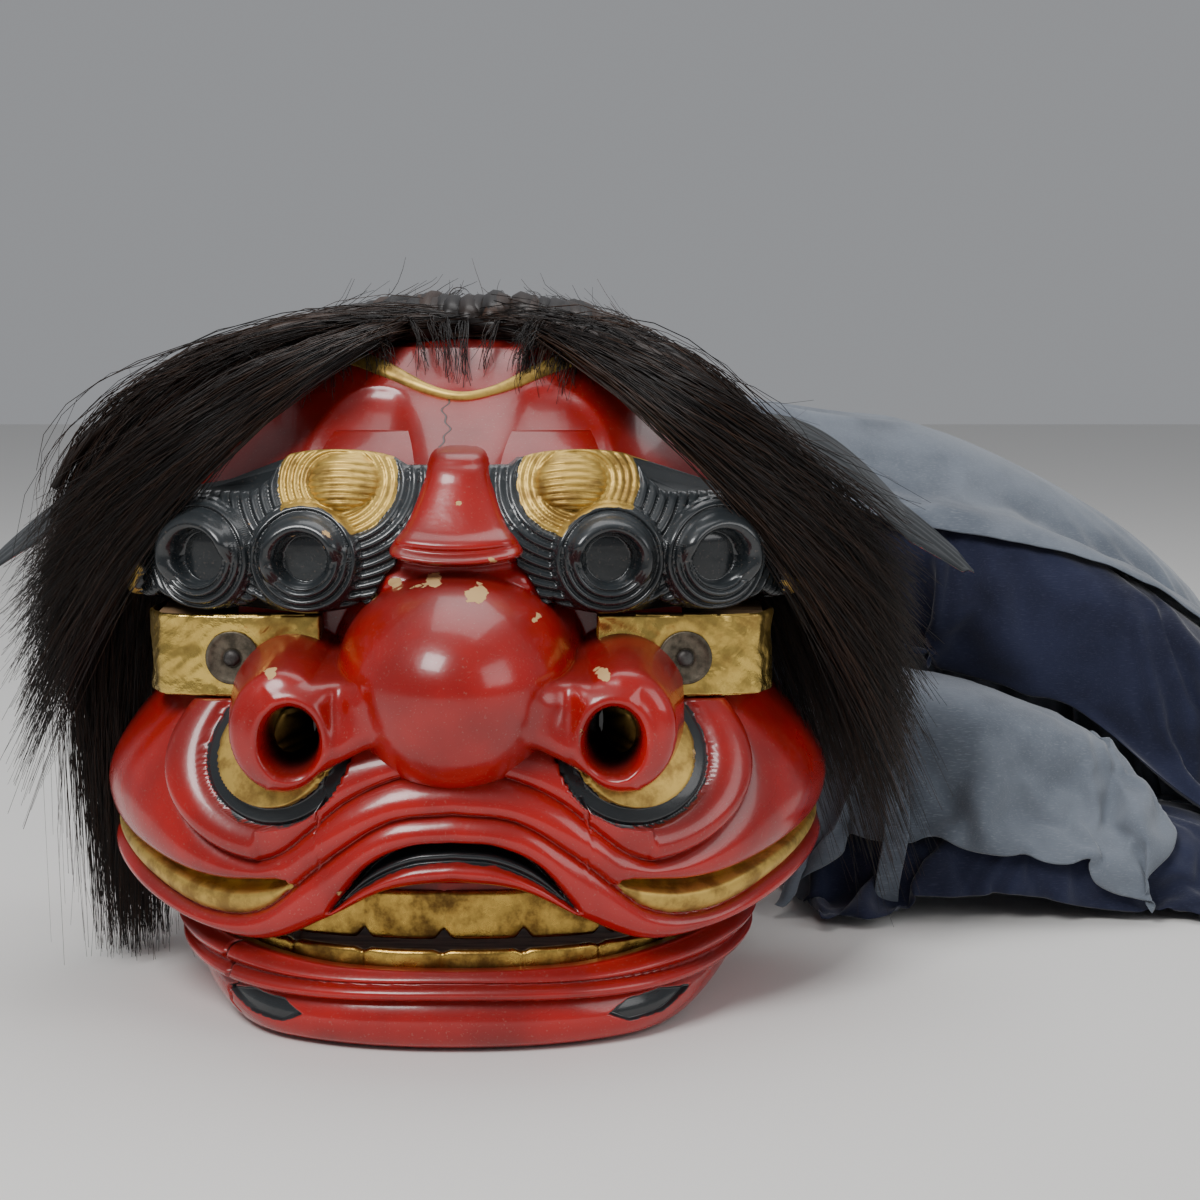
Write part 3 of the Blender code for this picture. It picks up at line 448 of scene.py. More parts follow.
def lacquer(name, body_colour, dusty_colour, roughness, wear):
    """Lacquer in one colour, with patches of black and of gold leaf by the attributes `black` and `gold`, and
    painted shade in recesses by the attribute `shade`.
    """
    made, tree, shader = new_material(name)
    place = add(tree, "ShaderNodeTexCoord")
    dusty = place_group(tree, dust, {"From": 0.15, "To": 1.05})
    knocked = place_group(tree, knocks, {"Amount": wear}, {"Ridge": mark(tree, "ridge")})
    chipped = place_group(tree, patch, {"Waver": 0.0022}, {"Inside": mark(tree, "bare")}).outputs["Mask"]
    hurt = math_node(tree, "ADD", knocked.outputs["Mask"], chipped, clamp=True)
    line = ramp(tree, math_node(tree, "ABSOLUTE", mark(tree, "crack")), 0.0007, 0.0002)
    tone = cloud(tree, place, 22, 4)
    deep = tuple(c * 0.62 for c in body_colour)
    colour = mix_colour(tree, ramp(tree, tone.outputs["Fac"], 0.35, 0.7), body_colour, deep)
    colour = mix_colour(tree, math_node(tree, "MULTIPLY", dusty.outputs["Mask"], 0.75), colour, dusty_colour)
    colour = mix_colour(
        tree, math_node(tree, "MULTIPLY", dusty.outputs["Speck"], 0.18), colour, (0.30, 0.22, 0.17)
    )
    black = place_group(tree, patch, links={"Inside": mark(tree, "black")}).outputs["Mask"]
    gold = place_group(tree, patch, {"Waver": 0.0008}, {"Inside": mark(tree, "gold")}).outputs["Mask"]
    rub = cloud(tree, place, 75, 7, 0.65)
    leaf = mix_colour(tree, ramp(tree, rub.outputs["Fac"], 0.42, 0.66), GOLD_LEAF, GOLD_DARK)
    colour = mix_colour(tree, black, colour, (0.012, 0.015, 0.017))
    colour = mix_colour(tree, gold, colour, leaf)
    # The `shade` attribute mixes in near black: painted shade in recesses, such as the top of the gilt slot
    # and the nostrils.
    colour = mix_colour(
        tree, math_node(tree, "MULTIPLY", mark(tree, "shade"), 0.93), colour, (0.006, 0.003, 0.003)
    )
    colour = mix_colour(
        tree, math_node(tree, "MULTIPLY", knocked.outputs["Rim"], 0.5), colour, (0.05, 0.012, 0.01)
    )
    colour = mix_colour(tree, hurt, colour, OCHRE)
    colour = mix_colour(tree, line, colour, (0.010, 0.005, 0.004))
    tree.links.new(colour, shader.inputs["Base Color"])
    solid = math_node(tree, "SUBTRACT", 1.0, hurt)
    tree.links.new(
        math_node(tree, "MULTIPLY", math_node(tree, "MULTIPLY", gold, 0.75), solid), shader.inputs["Metallic"]
    )
    rough = mix_value(tree, dusty.outputs["Mask"], roughness, roughness + 0.20)
    rough = mix_value(
        tree, ramp(tree, tone.outputs["Fac"], 0.3, 0.8), rough, math_node(tree, "ADD", rough, 0.06)
    )
    rough = mix_value(tree, gold, rough, 0.46)
    rough = mix_value(tree, hurt, rough, 0.85)
    tree.links.new(rough, shader.inputs["Roughness"])
    shader.inputs["Coat Roughness"].default_value = 0.10
    coat = math_node(
        tree, "MULTIPLY", math_node(tree, "SUBTRACT", 1.0, math_node(tree, "MAXIMUM", hurt, gold)), 0.35
    )
    tree.links.new(coat, shader.inputs["Coat Weight"])
    brush = cloud(tree, place, 55, 3)
    fine = cloud(tree, place, 420, 3)
    height = math_node(
        tree,
        "ADD",
        math_node(tree, "MULTIPLY", brush.outputs["Fac"], 0.9),
        math_node(tree, "MULTIPLY", fine.outputs["Fac"], 0.10),
    )
    height = math_node(tree, "SUBTRACT", height, math_node(tree, "MULTIPLY", hurt, 0.5))
    height = math_node(tree, "SUBTRACT", height, math_node(tree, "MULTIPLY", line, 1.2))
    emboss(tree, shader, 0.35, 0.0012, height)
    return made


red = lacquer("red lacquer", (0.41, 0.006, 0.004), (0.13, 0.008, 0.006), 0.20, 0.0)
black_lacquer = lacquer("black lacquer", (0.010, 0.013, 0.015), (0.030, 0.036, 0.040), 0.20, 0.0)


# %% Gilt copper sheet, wood, iron and leather
def gilt_sheet():
    """Thin gilt copper over wood: it crinkles, and it goes brown in the hollows."""
    made, tree, shader = new_material("gilt sheet")
    place = add(tree, "ShaderNodeTexCoord")
    crinkle = add(
        tree,
        "ShaderNodeTexNoise",
        {"Scale": 42, "Detail": 5, "Roughness": 0.6, "Distortion": 0.6},
        {"Vector": place.outputs["Object"]},
    )
    stain = cloud(tree, place, 30, 8, 0.7)
    colour = mix_colour(
        tree, ramp(tree, stain.outputs["Fac"], 0.38, 0.72), (0.66, 0.46, 0.12), (0.26, 0.16, 0.045)
    )
    tree.links.new(colour, shader.inputs["Base Color"])
    shader.inputs["Metallic"].default_value = 1.0
    tree.links.new(
        mix_value(tree, ramp(tree, stain.outputs["Fac"], 0.35, 0.75), 0.22, 0.48), shader.inputs["Roughness"]
    )
    emboss(tree, shader, 0.55, 0.003, crinkle.outputs["Fac"])
    return made


def bare_wood():
    made, tree, shader = new_material("bare wood")
    place = add(tree, "ShaderNodeTexCoord")
    stretched = add(tree, "ShaderNodeMapping", {"Scale": (6, 60, 60)}, {"Vector": place.outputs["Object"]})
    grain = add(
        tree,
        "ShaderNodeTexNoise",
        {"Scale": 5, "Detail": 8, "Roughness": 0.6},
        {"Vector": stretched.outputs["Vector"]},
    )
    colour = mix_colour(
        tree, ramp(tree, grain.outputs["Fac"], 0.35, 0.7), (0.33, 0.20, 0.10), (0.13, 0.07, 0.035)
    )
    tree.links.new(colour, shader.inputs["Base Color"])
    tree.links.new(mix_value(tree, grain.outputs["Fac"], 0.55, 0.8), shader.inputs["Roughness"])
    emboss(tree, shader, 0.4, 0.0006, grain.outputs["Fac"])
    return made


def dull_metal(name, light, dark, roughness):
    made, tree, shader = new_material(name)
    place = add(tree, "ShaderNodeTexCoord")
    stain = cloud(tree, place, 160, 7, 0.65)
    tree.links.new(
        mix_colour(tree, ramp(tree, stain.outputs["Fac"], 0.35, 0.68), light, dark),
        shader.inputs["Base Color"],
    )
    shader.inputs["Metallic"].default_value = 0.85
    tree.links.new(
        mix_value(tree, stain.outputs["Fac"], roughness - 0.1, roughness + 0.2), shader.inputs["Roughness"]
    )
    emboss(tree, shader, 0.3, 0.0004, stain.outputs["Fac"])
    return made


gilt = gilt_sheet()
wood = bare_wood()
pupil_metal = dull_metal("tarnished eye metal", (0.16, 0.135, 0.10), (0.055, 0.048, 0.035), 0.42)
iron = dull_metal("dark iron", (0.10, 0.095, 0.09), (0.035, 0.03, 0.028), 0.5)

floor_material, _, floor_shader = new_material("pale floor")
floor_shader.inputs["Base Color"].default_value = (0.72, 0.71, 0.69, 1)
floor_shader.inputs["Roughness"].default_value = 0.7
floor_mesh.materials.append(floor_material)


# %% [markdown]
# ## The muzzle
# The upper lip is one block of wood bent round the mouth. Its front is carved in bands that lie over each
# other like waves: each is full low down and tucks in sharply at its lower edge. Sculpting could make it,
# but every band here is only the space between two curves, so it is written as that: a point's share of the
# way from one curve to the next gives how far it stands out. The same distances say where the gold and the
# black lie.

# %% The mouth's plan
MOUTH_PLAN = (0.168, 0.150, -0.010, 0.085)
JAW_PLAN = (0.140, 0.146, -0.020, 0.050)


def lip_point(angle, plan, out):
    """A bent oval in plan: half width times sine to 0.9, depth times cosine to 0.9, both grown by out."""
    half_width, depth, centre_y, rear_depth = plan
    x = (half_width + out) * power(np.sin(angle), 0.9)
    ahead = (depth + out) * np.maximum(np.cos(angle), 0) ** 0.9
    return x, centre_y - ahead + rear_depth * np.maximum(-np.cos(angle), 0)


def band(share, fullness=0.55):
    """A rounded band's height over its share from 0 at the lower edge to 1 at the upper, fullest at 1/3."""
    share = np.clip(share, 0, 1)
    return np.sin(math.pi * share**0.72) ** fullness


def curl_away(inside, radius):
    """How far an edge falls back within a radius of it, as a quarter circle."""
    near = np.clip(1 - inside / radius, 0, 1)
    return radius * (1 - np.sqrt(np.maximum(1 - near * near, 0)))


lip_edge = through(
    [0, 0.03, 0.06, 0.09, 0.12, 0.15, 0.18], [0.0775, 0.0730, 0.0580, 0.0450, 0.0460, 0.0540, 0.0690]
)
lens_low = through([0, 0.02, 0.04, 0.057], [0.0862, 0.0838, 0.0745, 0.0615])
lens_high = through([0, 0.02, 0.04, 0.057], [0.0955, 0.0935, 0.0830, 0.0625])
crease_low = through(
    [0, 0.03, 0.06, 0.09, 0.12, 0.15, 0.18], [0.1085, 0.1040, 0.0840, 0.0595, 0.0545, 0.0640, 0.0800]
)
slot_high = through(
    [0.070, 0.080, 0.09, 0.105, 0.12, 0.15, 0.18], [0.0775, 0.0755, 0.0745, 0.0728, 0.0732, 0.0800, 0.0900]
)
crease_high = through(
    [0, 0.03, 0.05, 0.065, 0.0775, 0.0875, 0.100],
    [0.1265, 0.1220, 0.1118, 0.0985, 0.0882, 0.0838, 0.0849],
)
LENS_HALF, SWIRL_X = 0.057, 0.0875
NOSTRIL = (0.0715, 0.1410, 0.0130, 0.0158)
RING_CENTRE = (0.0860, 0.1375)
RING_RADIUS = 0.0385
DISC_RADIUS = 0.0300


def ellipse_inside(x, z, oval):
    """About how far inside an ellipse (centre x, centre z, half width, half height) a place is."""
    centre_x, centre_z, half_width, half_height = oval
    return (
        1 - np.hypot((x - centre_x) / half_width, (z - centre_z) / half_height)
    ) * min(half_width, half_height)


def hump(share, fullness=0.5):
    """A rounded hump over a share from 0 to 1, and flat outside it."""
    return np.sin(math.pi * np.clip(share, 0, 1)) ** fullness


def muzzle_relief(x, z):
    """How far the muzzle's face stands out at a place of the front view, the signed distances inside its
    black and its gold patches, and how much painted shade it gets."""
    half = np.abs(x)
    low, deep = lip_edge(half), crease_low(half)
    swirl = np.where(half < SWIRL_X, z - crease_high(half), 0.055 - np.hypot(half - SWIRL_X, z - 0.1385))
    slot_roof = np.where(half > 0.070, np.maximum(slot_high(half), deep), deep)
    in_slot = np.minimum(z - deep - 0.0008, slot_roof - z)
    in_slot = np.minimum(in_slot, np.minimum(half - 0.0745, (0.1800 - half) * 0.8))
    roof = deep + (slot_roof - deep) * smoothstep(half, 0.070, 0.080)
    lens_gap = np.where(half < LENS_HALF, lens_high(half) - lens_low(half), 0)
    in_lens = np.where(half < LENS_HALF, np.minimum(z - lens_low(half), lens_high(half) - z), -0.01)
    in_lens = np.minimum(in_lens, (LENS_HALF - half) * 0.6)
    lip_floor = np.where(half < LENS_HALF, lens_high(half), low)
    reach = 0.0062 * band((z - lip_floor) / np.maximum(deep - lip_floor, 1e-4))
    upper = 0.0072 * band((z - roof) / np.maximum(z - roof - swirl, 1e-4), 0.5)
    reach = np.where(z > roof, upper, reach)
    wide = np.where(half < SWIRL_X, 0.146 - crease_high(half), 0.055 - RING_RADIUS)
    fold = 0.0080 * band(swirl / wide, 0.5)
    reach = np.where(swirl > 0, fold, reach)
    rim = 0.0052 * np.sqrt(
        np.clip(np.sin(math.pi * np.clip((z - low) / np.maximum(lens_low(half) - low, 1e-4), 0, 1)), 0, 1)
    )
    reach = np.where((half < LENS_HALF) & (z < lens_low(half)), rim, reach)
    climb = np.clip((z - lens_low(half)) / np.maximum(lens_gap, 1e-4), 0, 1)
    roll = 0.0050 * hump(climb / 0.62) - 0.0085 * smoothstep(climb, 0.50, 0.85) - 0.0045
    reach = np.where(
        in_lens > 0,
        reach * (1 - smoothstep(in_lens, 0, 0.0015)) + roll * smoothstep(in_lens, 0, 0.0015),
        reach,
    )
    rise = np.clip((z - deep) / np.maximum(slot_roof - deep, 1e-4), 0, 1)
    bead = 0.0052 * hump(rise**0.8 / 0.78) - 0.0075 * smoothstep(rise, 0.55, 0.95) - 0.0020
    reach = np.where(in_slot > 0, bead, reach)
    # Painted shade along the top of the gilt slot, where the band above overhangs it.
    shade = smoothstep(in_slot, 0, 0.001) * smoothstep(rise, 0.66, 0.98) * 0.75
    away = np.hypot(half - RING_CENTRE[0], z - RING_CENTRE[1])
    in_ring = RING_RADIUS - away
    in_disc = DISC_RADIUS - away
    flat = -0.0010 + 0.0012 * smoothstep(in_ring, 0, 0.002)
    reach = np.where(in_ring > 0, flat + 0.0045 * smoothstep(in_disc, -0.0004, 0.0010), reach)
    reach = reach - 0.020 * np.clip(0.004 - (z - low), 0, 0.004) ** 0.5 * 0.2
    # Behind each nostril the face is dug away, and the pit gets painted shade.
    behind = ellipse_inside(half, z, (NOSTRIL[0], NOSTRIL[1], 0.0165, 0.0195))
    reach = reach - 0.048 * smoothstep(behind, 0, 0.0022)
    shade = np.maximum(shade, smoothstep(behind, -0.001, 0.001))
    lens_gold = np.maximum(in_slot, np.minimum(in_disc, 0.004))
    black = np.maximum(in_lens, np.minimum(in_ring, 0.004))
    return reach, black, lens_gold, shade


def muzzle_slope(angle, z):
    """How the face leans back: gently below, and above it the front and the corners each fall away."""
    front = 0.028 * (np.maximum(z - 0.095, 0) / 0.06) ** 2
    corner = 0.026 * (np.maximum(z - 0.100, 0) / 0.045) ** 1.6
    side = smoothstep(np.abs(angle), math.radians(48), math.radians(85))
    return 0.004 - front * (1 - side) - corner * side - 0.008 * (np.maximum(0.095 - z, 0) / 0.05) ** 2


def ridge_of(height):
    """How sharp a ridge is at each grid point: its height over its neighbours' mean, scaled to about 1."""
    s = 2
    padded = np.pad(height, s, mode="edge")
    mean = (
        padded[2 * s :, s:-s] + padded[: -2 * s, s:-s] + padded[s:-s, 2 * s :] + padded[s:-s, : -2 * s]
    ) / 4
    return np.clip((height - mean) * 2500, 0, 1)


# %% The muzzle's surface
def make_muzzle():
    angles = np.radians(np.linspace(-112, 112, 430))[:, None]
    centre_x = lip_point(angles, MOUTH_PLAN, 0)[0] * (0.180 / 0.173)
    low = lip_edge(np.abs(centre_x))
    top = np.where(np.abs(centre_x) < 0.060, 0.160, 0.1496)
    share = np.linspace(0, 1, 190)[None, :]
    z = low + (top - low) * share
    relief, black, gold, shade = muzzle_relief(centre_x + 0 * z, z)
    out = muzzle_slope(angles, z) + relief
    ridge = ridge_of(np.maximum(relief, -0.01))
    inside = [(-0.045, 0), (-0.045, 0.125), (-0.045, 0.0706), (-0.020, 0.0706), (-0.018, 0)]
    back_out = np.repeat(np.array([[p[0] for p in inside]]), len(angles), 0)
    back_out[:, 0] -= 0.024 * np.maximum(np.cos(angles[:, 0]), 0)
    back_z = np.stack(
        [
            top[:, 0],
            0.125 + 0 * low[:, 0],
            np.maximum(0.0706, 0 * low[:, 0]),
            0.0706 + 0 * low[:, 0],
            low[:, 0] + 0.003,
        ],
        1,
    )
    all_out = np.concatenate([out, back_out], 1)
    all_z = np.concatenate([z, back_z], 1)
    x, y = lip_point(angles, MOUTH_PLAN, all_out)
    points = np.stack([x, y, all_z], -1)
    pad = np.zeros((len(angles), len(inside)))
    marks = marks_for(
        all_z,
        black=np.concatenate([black, pad - 0.01], 1),
        gold=np.concatenate([gold, pad - 0.01], 1),
        ridge=np.concatenate([ridge, pad], 1),
        shade=np.concatenate([shade, pad], 1),
    )
    return grid_piece(
        "carved_muzzle", points, "upper_head", red, loop=True, caps=True, marks=marks
    )


muzzle = make_muzzle()
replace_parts(muzzle, "muzzle")


# %% [markdown]
# ## The nose
# The nose is a bridge, a bulb and two nostril wings, cut from one block. Seen from the front each is a
# height over the same plane, so the whole nose is one height field: the largest of its parts, with a fillet
# where two meet. Outside its outline the field drops steeply to inside the head, which gives the block its
# sides.

# %% What lies behind the face
shell_low, shell_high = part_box("head_shell")
CRANIUM_HALF_WIDTH, SPRING_Z = 0.150, 0.120
CRANIUM_RISE = round(shell_high.z - SPRING_Z, 4)
WALL_BOTTOM_Z, REAR_Y = round(shell_low.z, 4), round(shell_high.y, 4)
JOINT_Z, JOINT_REAR_Y = 0.150, 0.0226
print("cranium", CRANIUM_RISE, "m over its springing, rear at", REAR_Y)


def skull_depth(x, z):
    """How far forward the bare forehead stands: a blunt ellipsoid, drawn forward low down at the brows."""
    up = np.maximum(z - SPRING_Z, 0) / 0.1975
    reach = np.minimum(((np.abs(x) / CRANIUM_HALF_WIDTH) ** 3.2 + up**3.2) ** (1 / 2.4), 1)
    flare = (0.026 - 0.004 * np.minimum(np.abs(x) / 0.09, 1) ** 2) * smoothstep(-z, -0.290, -0.247)
    return -0.010 + 0.110 * np.sqrt(1 - reach * reach) + flare


# %% The nose's height
bridge_depth = through(
    [0.190, 0.2050, 0.2122, 0.2142, 0.2150, 0.2215, 0.2232, 0.2300, 0.2400, 0.2500, 0.2580, 0.2640, 0.2700],
    [0.120, 0.1260, 0.1225, 0.1240, 0.1310, 0.1335, 0.1345, 0.1285, 0.1210, 0.1140, 0.1080, 0.0985, 0.0600],
)
bridge_half = through(
    [0.190, 0.2125, 0.2145, 0.2235, 0.2300, 0.2400, 0.2500, 0.2620, 0.2700],
    [0.043, 0.0318, 0.0302, 0.0292, 0.0245, 0.0198, 0.0164, 0.0132, 0.0090],
)
nose_foot = through([0, 0.02, 0.04, 0.06, 0.080, 0.100], [0.1440, 0.1425, 0.1350, 0.1250, 0.1175, 0.1190])
WING = (0.0765, 0.1445, 0.0235, 0.0278)


BLOCK_WALL = 7.0


def block(depth, inside, radius):
    """A flat-fronted block: full depth inside its outline, rounded near it, and a steep wall outside."""
    return np.where(inside > 0, depth - curl_away(inside, radius), depth - radius + BLOCK_WALL * inside)


def nose_height(x, z):
    """The nose's depth, and the signed distance inside a nostril."""
    half = np.abs(x)
    dome = 1 - (x / 0.0555) ** 2 - ((z - 0.1640) / np.where(z > 0.164, 0.0480, 0.060)) ** 2
    bulb = np.where(dome > 0, 0.108 + 0.0835 * np.sqrt(np.maximum(dome, 0)), 0.108 + 0.10 * dome)
    wing_in = ellipse_inside(half, z, WING)
    wing = block(
        0.1655 - 0.10 * np.maximum(half - 0.075, 0) - 0.12 * np.maximum(z - 0.155, 0), wing_in, 0.0085
    )
    flank_in = np.minimum(np.minimum(z - nose_foot(half), 0.1665 - z), 0.084 - half)
    flank = block(0.1700 - 0.06 * half, flank_in, 0.010)
    hollow = 0.0055 * np.exp(-(((half - 0.0505) / 0.006) ** 2) - ((z - 0.160) / 0.014) ** 2)
    base = soft_max(wing, flank - hollow, 0.005)
    lower = soft_max(bulb, base, 0.0055)
    fold = z - 0.0030 * (x / 0.030) ** 2
    half_bridge = bridge_half(z)
    ridge = bridge_depth(fold) - 0.0065 * np.minimum(half / half_bridge, 1) ** 2.2
    bridge = block(ridge, half_bridge - half, 0.006)
    depth = np.maximum(lower, bridge)
    hole = ellipse_inside(half, z, NOSTRIL)
    roll = 0.0016 * np.exp(-(((hole + 0.0035) / 0.0030) ** 2))
    depth = depth + roll - np.where(
        hole > 0, np.minimum(0.0025 + 9 * hole, 0.052), 0.0025 * smoothstep(hole, -0.0022, 0)
    )
    return depth, hole


# Old knocks through the lacquer: across, up, and radius of each.
NOSE_CHIPS = [
    (-0.0286, 0.2065, 0.0036),
    (-0.0093, 0.2092, 0.0030),
    (0.0106, 0.2045, 0.0048),
    (-0.0390, 0.1995, 0.0026),
    (0.0176, 0.2185, 0.0019),
    (0.0010, 0.2425, 0.0017),
    (-0.0800, 0.1700, 0.0030),
    (0.0670, 0.1695, 0.0028),
    (0.0370, 0.1930, 0.0020),
]


def inside_chips(x, z, chips):
    """The signed distance inside the nearest of several round chips."""
    return np.max([radius - np.hypot(x - cx, (z - cz) * 1.5) for cx, cz, radius in chips], axis=0)


def make_nose():
    x = np.linspace(-0.104, 0.104, 270)[None, :]
    z = np.linspace(0.112, 0.272, 210)[:, None]
    depth, hole = nose_height(x, z)
    behind = np.where(z > 0.196, skull_depth(x, z) - 0.004, 0.0905)
    depth = np.maximum(depth, behind)
    front = np.stack([x + 0 * z, -depth, z + 0 * x], -1)
    back = front.copy()
    back[..., 1] = -behind + 0.004
    points = with_back(front, back)
    # Deep in each nostril the lacquer gets painted shade over its black patch.
    dark = smoothstep(hole, 0.0002, 0.0022)
    marks = marks_for(
        points[..., 0],
        black=with_pad(hole - 0.0032, -0.01),
        bare=with_pad(inside_chips(x, z, NOSE_CHIPS), -0.01),
        shade=with_pad(dark, 0),
        ridge=with_pad(ridge_of(depth) * (dark < 0.1), 0),
    )
    return grid_piece(
        "carved_nose", points, "upper_head", red, loop=True, caps=True, marks=marks
    )


nose = make_nose()
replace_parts(nose, "nose")


# %% [markdown]
# ## The cranium and the forehead
# The cranium is a blunt shell, thinner than it looks, open behind. Its forehead is hollowed over each brow
# by one sweep of a round gouge, which leaves a crisp arris along the top and the outer side, and runs out
# softly towards the middle. So the forehead is the skull's surface less a bowl, and the bowl's edge is what
# catches the light.


# %% The shell
def shell_point(lift, swing, offset):
    """The cranium: lift runs from the front pole over pi/2 at the widest to pi/2 + 1 at the rear rim, and
    swing from the right spring over the top to the left one."""
    dome = np.minimum(lift, math.pi / 2)
    rear = np.clip(lift - math.pi / 2, 0, 1)
    grow = np.sin(dome) ** 0.75 * (1 - 0.07 * rear)
    x = (CRANIUM_HALF_WIDTH * grow + offset) * power(np.cos(swing), 0.8)
    z = SPRING_Z + (CRANIUM_RISE * grow + offset) * power(np.sin(swing), 0.8)
    y = 0.010 - (0.110 + offset) * np.cos(dome) + rear * (REAR_Y - 0.010)
    return np.stack(np.broadcast_arrays(x, y, z), -1)


def make_cranium():
    lifts = np.concatenate([np.radians(np.linspace(4, 90, 60)), math.pi / 2 + np.linspace(0.01, 1, 60)])
    swings = np.linspace(0, math.pi, 120)
    outer = shell_point(lifts[:, None], swings[None, :], 0.0)
    inner = shell_point(lifts[:, None], swings[None, ::-1], -0.010)
    inner[..., 1] = np.maximum(inner[..., 1], outer[:, ::-1, 1])

    def with_feet(arch):
        """Carries an arch down to the bottom of the side walls at both ends."""
        feet = np.repeat(arch[:, :1], 12, 1), np.repeat(arch[:, -1:], 12, 1)
        feet[0][..., 2] = np.linspace(WALL_BOTTOM_Z, SPRING_Z - 0.004, 12)
        feet[1][..., 2] = np.linspace(SPRING_Z - 0.004, WALL_BOTTOM_Z, 12)
        return np.concatenate([feet[0], arch, feet[1]], 1)

    points = np.concatenate([with_feet(outer), with_feet(inner)], 1)
    ahead = points[..., 1] < JOINT_REAR_Y
    points[..., 2] = np.where(ahead, np.maximum(points[..., 2], JOINT_Z + 0.0003), points[..., 2])
    behind = smoothstep(-points[..., 2], -0.300, -0.285) * smoothstep(-points[..., 1], 0.030, 0.060)
    points[..., 1] += 0.018 * behind
    marks = marks_for(points[..., 0])
    return grid_piece("cranium", points, "upper_head", red, loop=True, caps=True, marks=marks)


cranium = make_cranium()
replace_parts(cranium, "head_shell")

# %% The forehead with its two hollows
# The hollow's centre across and up, its half width and half height, and its depth.
HOLLOW, HOLLOW_DEPTH = (0.0405, 0.2490, 0.0335, 0.0430), 0.0115


def make_forehead():
    z = np.linspace(0.236, 0.3095, 150)[:, None]
    widest = CRANIUM_HALF_WIDTH * (1 - ((z - SPRING_Z) / 0.1975) ** 3.2) ** (1 / 3.2)
    x = widest * np.sin(np.radians(np.linspace(-82, 82, 260)))[None, :]
    depth = skull_depth(x, z)
    half = np.abs(x)
    oval = np.hypot((half - HOLLOW[0]) / HOLLOW[2], (z - HOLLOW[1]) / HOLLOW[3])
    fade = 1 + 1.3 * smoothstep(-half, -0.034, -0.012)
    bowl = HOLLOW_DEPTH * np.clip(1 - oval**2, 0, 1) ** fade
    arris = 0.0010 * np.exp(-(((oval - 1) * 0.03 / 0.0030) ** 2)) * smoothstep(half, 0.020, 0.040)
    depth = depth - bowl + arris + 0.0004 * noise(x, z, 4, 0.03)
    line_x = -0.0072 + 0.0016 * np.sin(z * 420) + 0.0009 * np.sin(z * 1130 + 1)
    crack = np.where((z > 0.2605) & (z < 0.2880), x - line_x, 0.01)
    front = np.stack([x, -depth, z + 0 * x], -1)
    back = front * (0.97, 1, 1) + (0, 0.006, 0)
    points = with_back(front, back)
    marks = marks_for(points[..., 0], crack=with_pad(crack, 0.01), ridge=with_pad(ridge_of(-bowl), 0))
    return grid_piece("forehead", points, "upper_head", red, loop=True, caps=True, marks=marks)


make_forehead()

# %% [markdown]
# ## The gilt moulding
# A gilt bead borders the mane. It hangs in a shallow curve over the nose and rises at both sides. It is an
# oval carried along that curve on the forehead's surface.


# %% A bead along a curve
def sweep(centres, axis_a, axis_b, radius_a, radius_b):
    """A tube: an oval in the plane of two axes, at each point of a path. Arguments have a row per point."""
    turn = np.linspace(0, 2 * math.pi, 16, endpoint=False)
    ring_a = np.cos(turn)[None, :, None] * axis_a[:, None, :] * np.reshape(radius_a, (-1, 1, 1))
    ring_b = np.sin(turn)[None, :, None] * axis_b[:, None, :] * np.reshape(radius_b, (-1, 1, 1))
    return centres[:, None, :] + ring_a + ring_b


def unit(vectors):
    return vectors / np.maximum(np.linalg.norm(vectors, axis=-1, keepdims=True), 1e-12)


def make_bead():
    x = np.linspace(-0.088, 0.088, 180)
    half = np.abs(x)
    z = 0.2868 + 0.0175 * smoothstep(half, 0.0, 0.060) - 0.004 * smoothstep(half, 0.06, 0.085)
    centres = np.stack([x, -skull_depth(x, z) + 0.0004, z], -1)
    along = unit(np.gradient(centres, axis=0))
    up = unit(np.stack([0 * x, -skull_depth(x, z + 0.001) + skull_depth(x, z - 0.001), 0.002 + 0 * x], -1))
    outwards = unit(np.cross(along, up))
    up = np.cross(outwards, along)
    broad = 0.0026 + 0.0026 * smoothstep(half, 0.010, 0.045)
    points = sweep(centres, up, outwards, broad, 0.0028 + 0 * x)
    marks = marks_for(points[..., 0], gold=np.full(points.shape[:2], 0.01))
    return grid_piece(
        "forehead_bead", points, "upper_head", gold_leaf, loop=True, caps=True, marks=marks
    )


gold_leaf = lacquer("gold leaf on lacquer", (0.20, 0.02, 0.012), (0.10, 0.03, 0.02), 0.4, 0.0)
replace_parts(make_bead(), "forehead_band")

# %% [markdown]
# ## The brows
# Each brow is a bank of hair locks. Near the nose they are fine ridges that run round a gilt shell, and
# outwards they roll into two big curls, then a small gilt one on the temple. Every ridge is a wave in the
# distance from some centre, so the relief is a sum of such waves, each kept to its own region.

# %% The brow's plan
BROW_HALF_WIDTH, BROW_REACH, BROW_BACK_Y = 0.158, 0.090, -0.030
BROW_LOW = round(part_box("brow_right")[0].z, 4)


def brow_plan(sweep_angle):
    return BROW_HALF_WIDTH * np.sin(
        sweep_angle
    ) ** 0.85, BROW_BACK_Y - BROW_REACH * np.cos(sweep_angle) ** 0.7


def brow_arc():
    """Distance along the brow's plan against its angle, from the middle of the face outwards."""
    angle = np.linspace(0, math.radians(89), 2000)
    x, y = brow_plan(angle)
    length = np.concatenate([[0], np.cumsum(np.hypot(np.diff(x), np.diff(y)))])
    return angle, x, length


arc_angle, arc_x, arc_length = brow_arc()


def along_brow(x):
    return np.interp(x, arc_x, arc_length)


def ribs(distance, pitch):
    """Rounded ribs with sharp grooves between them, one for each pitch of distance, from 0 to 1."""
    return np.abs(np.sin(math.pi * distance / pitch)) ** 0.7


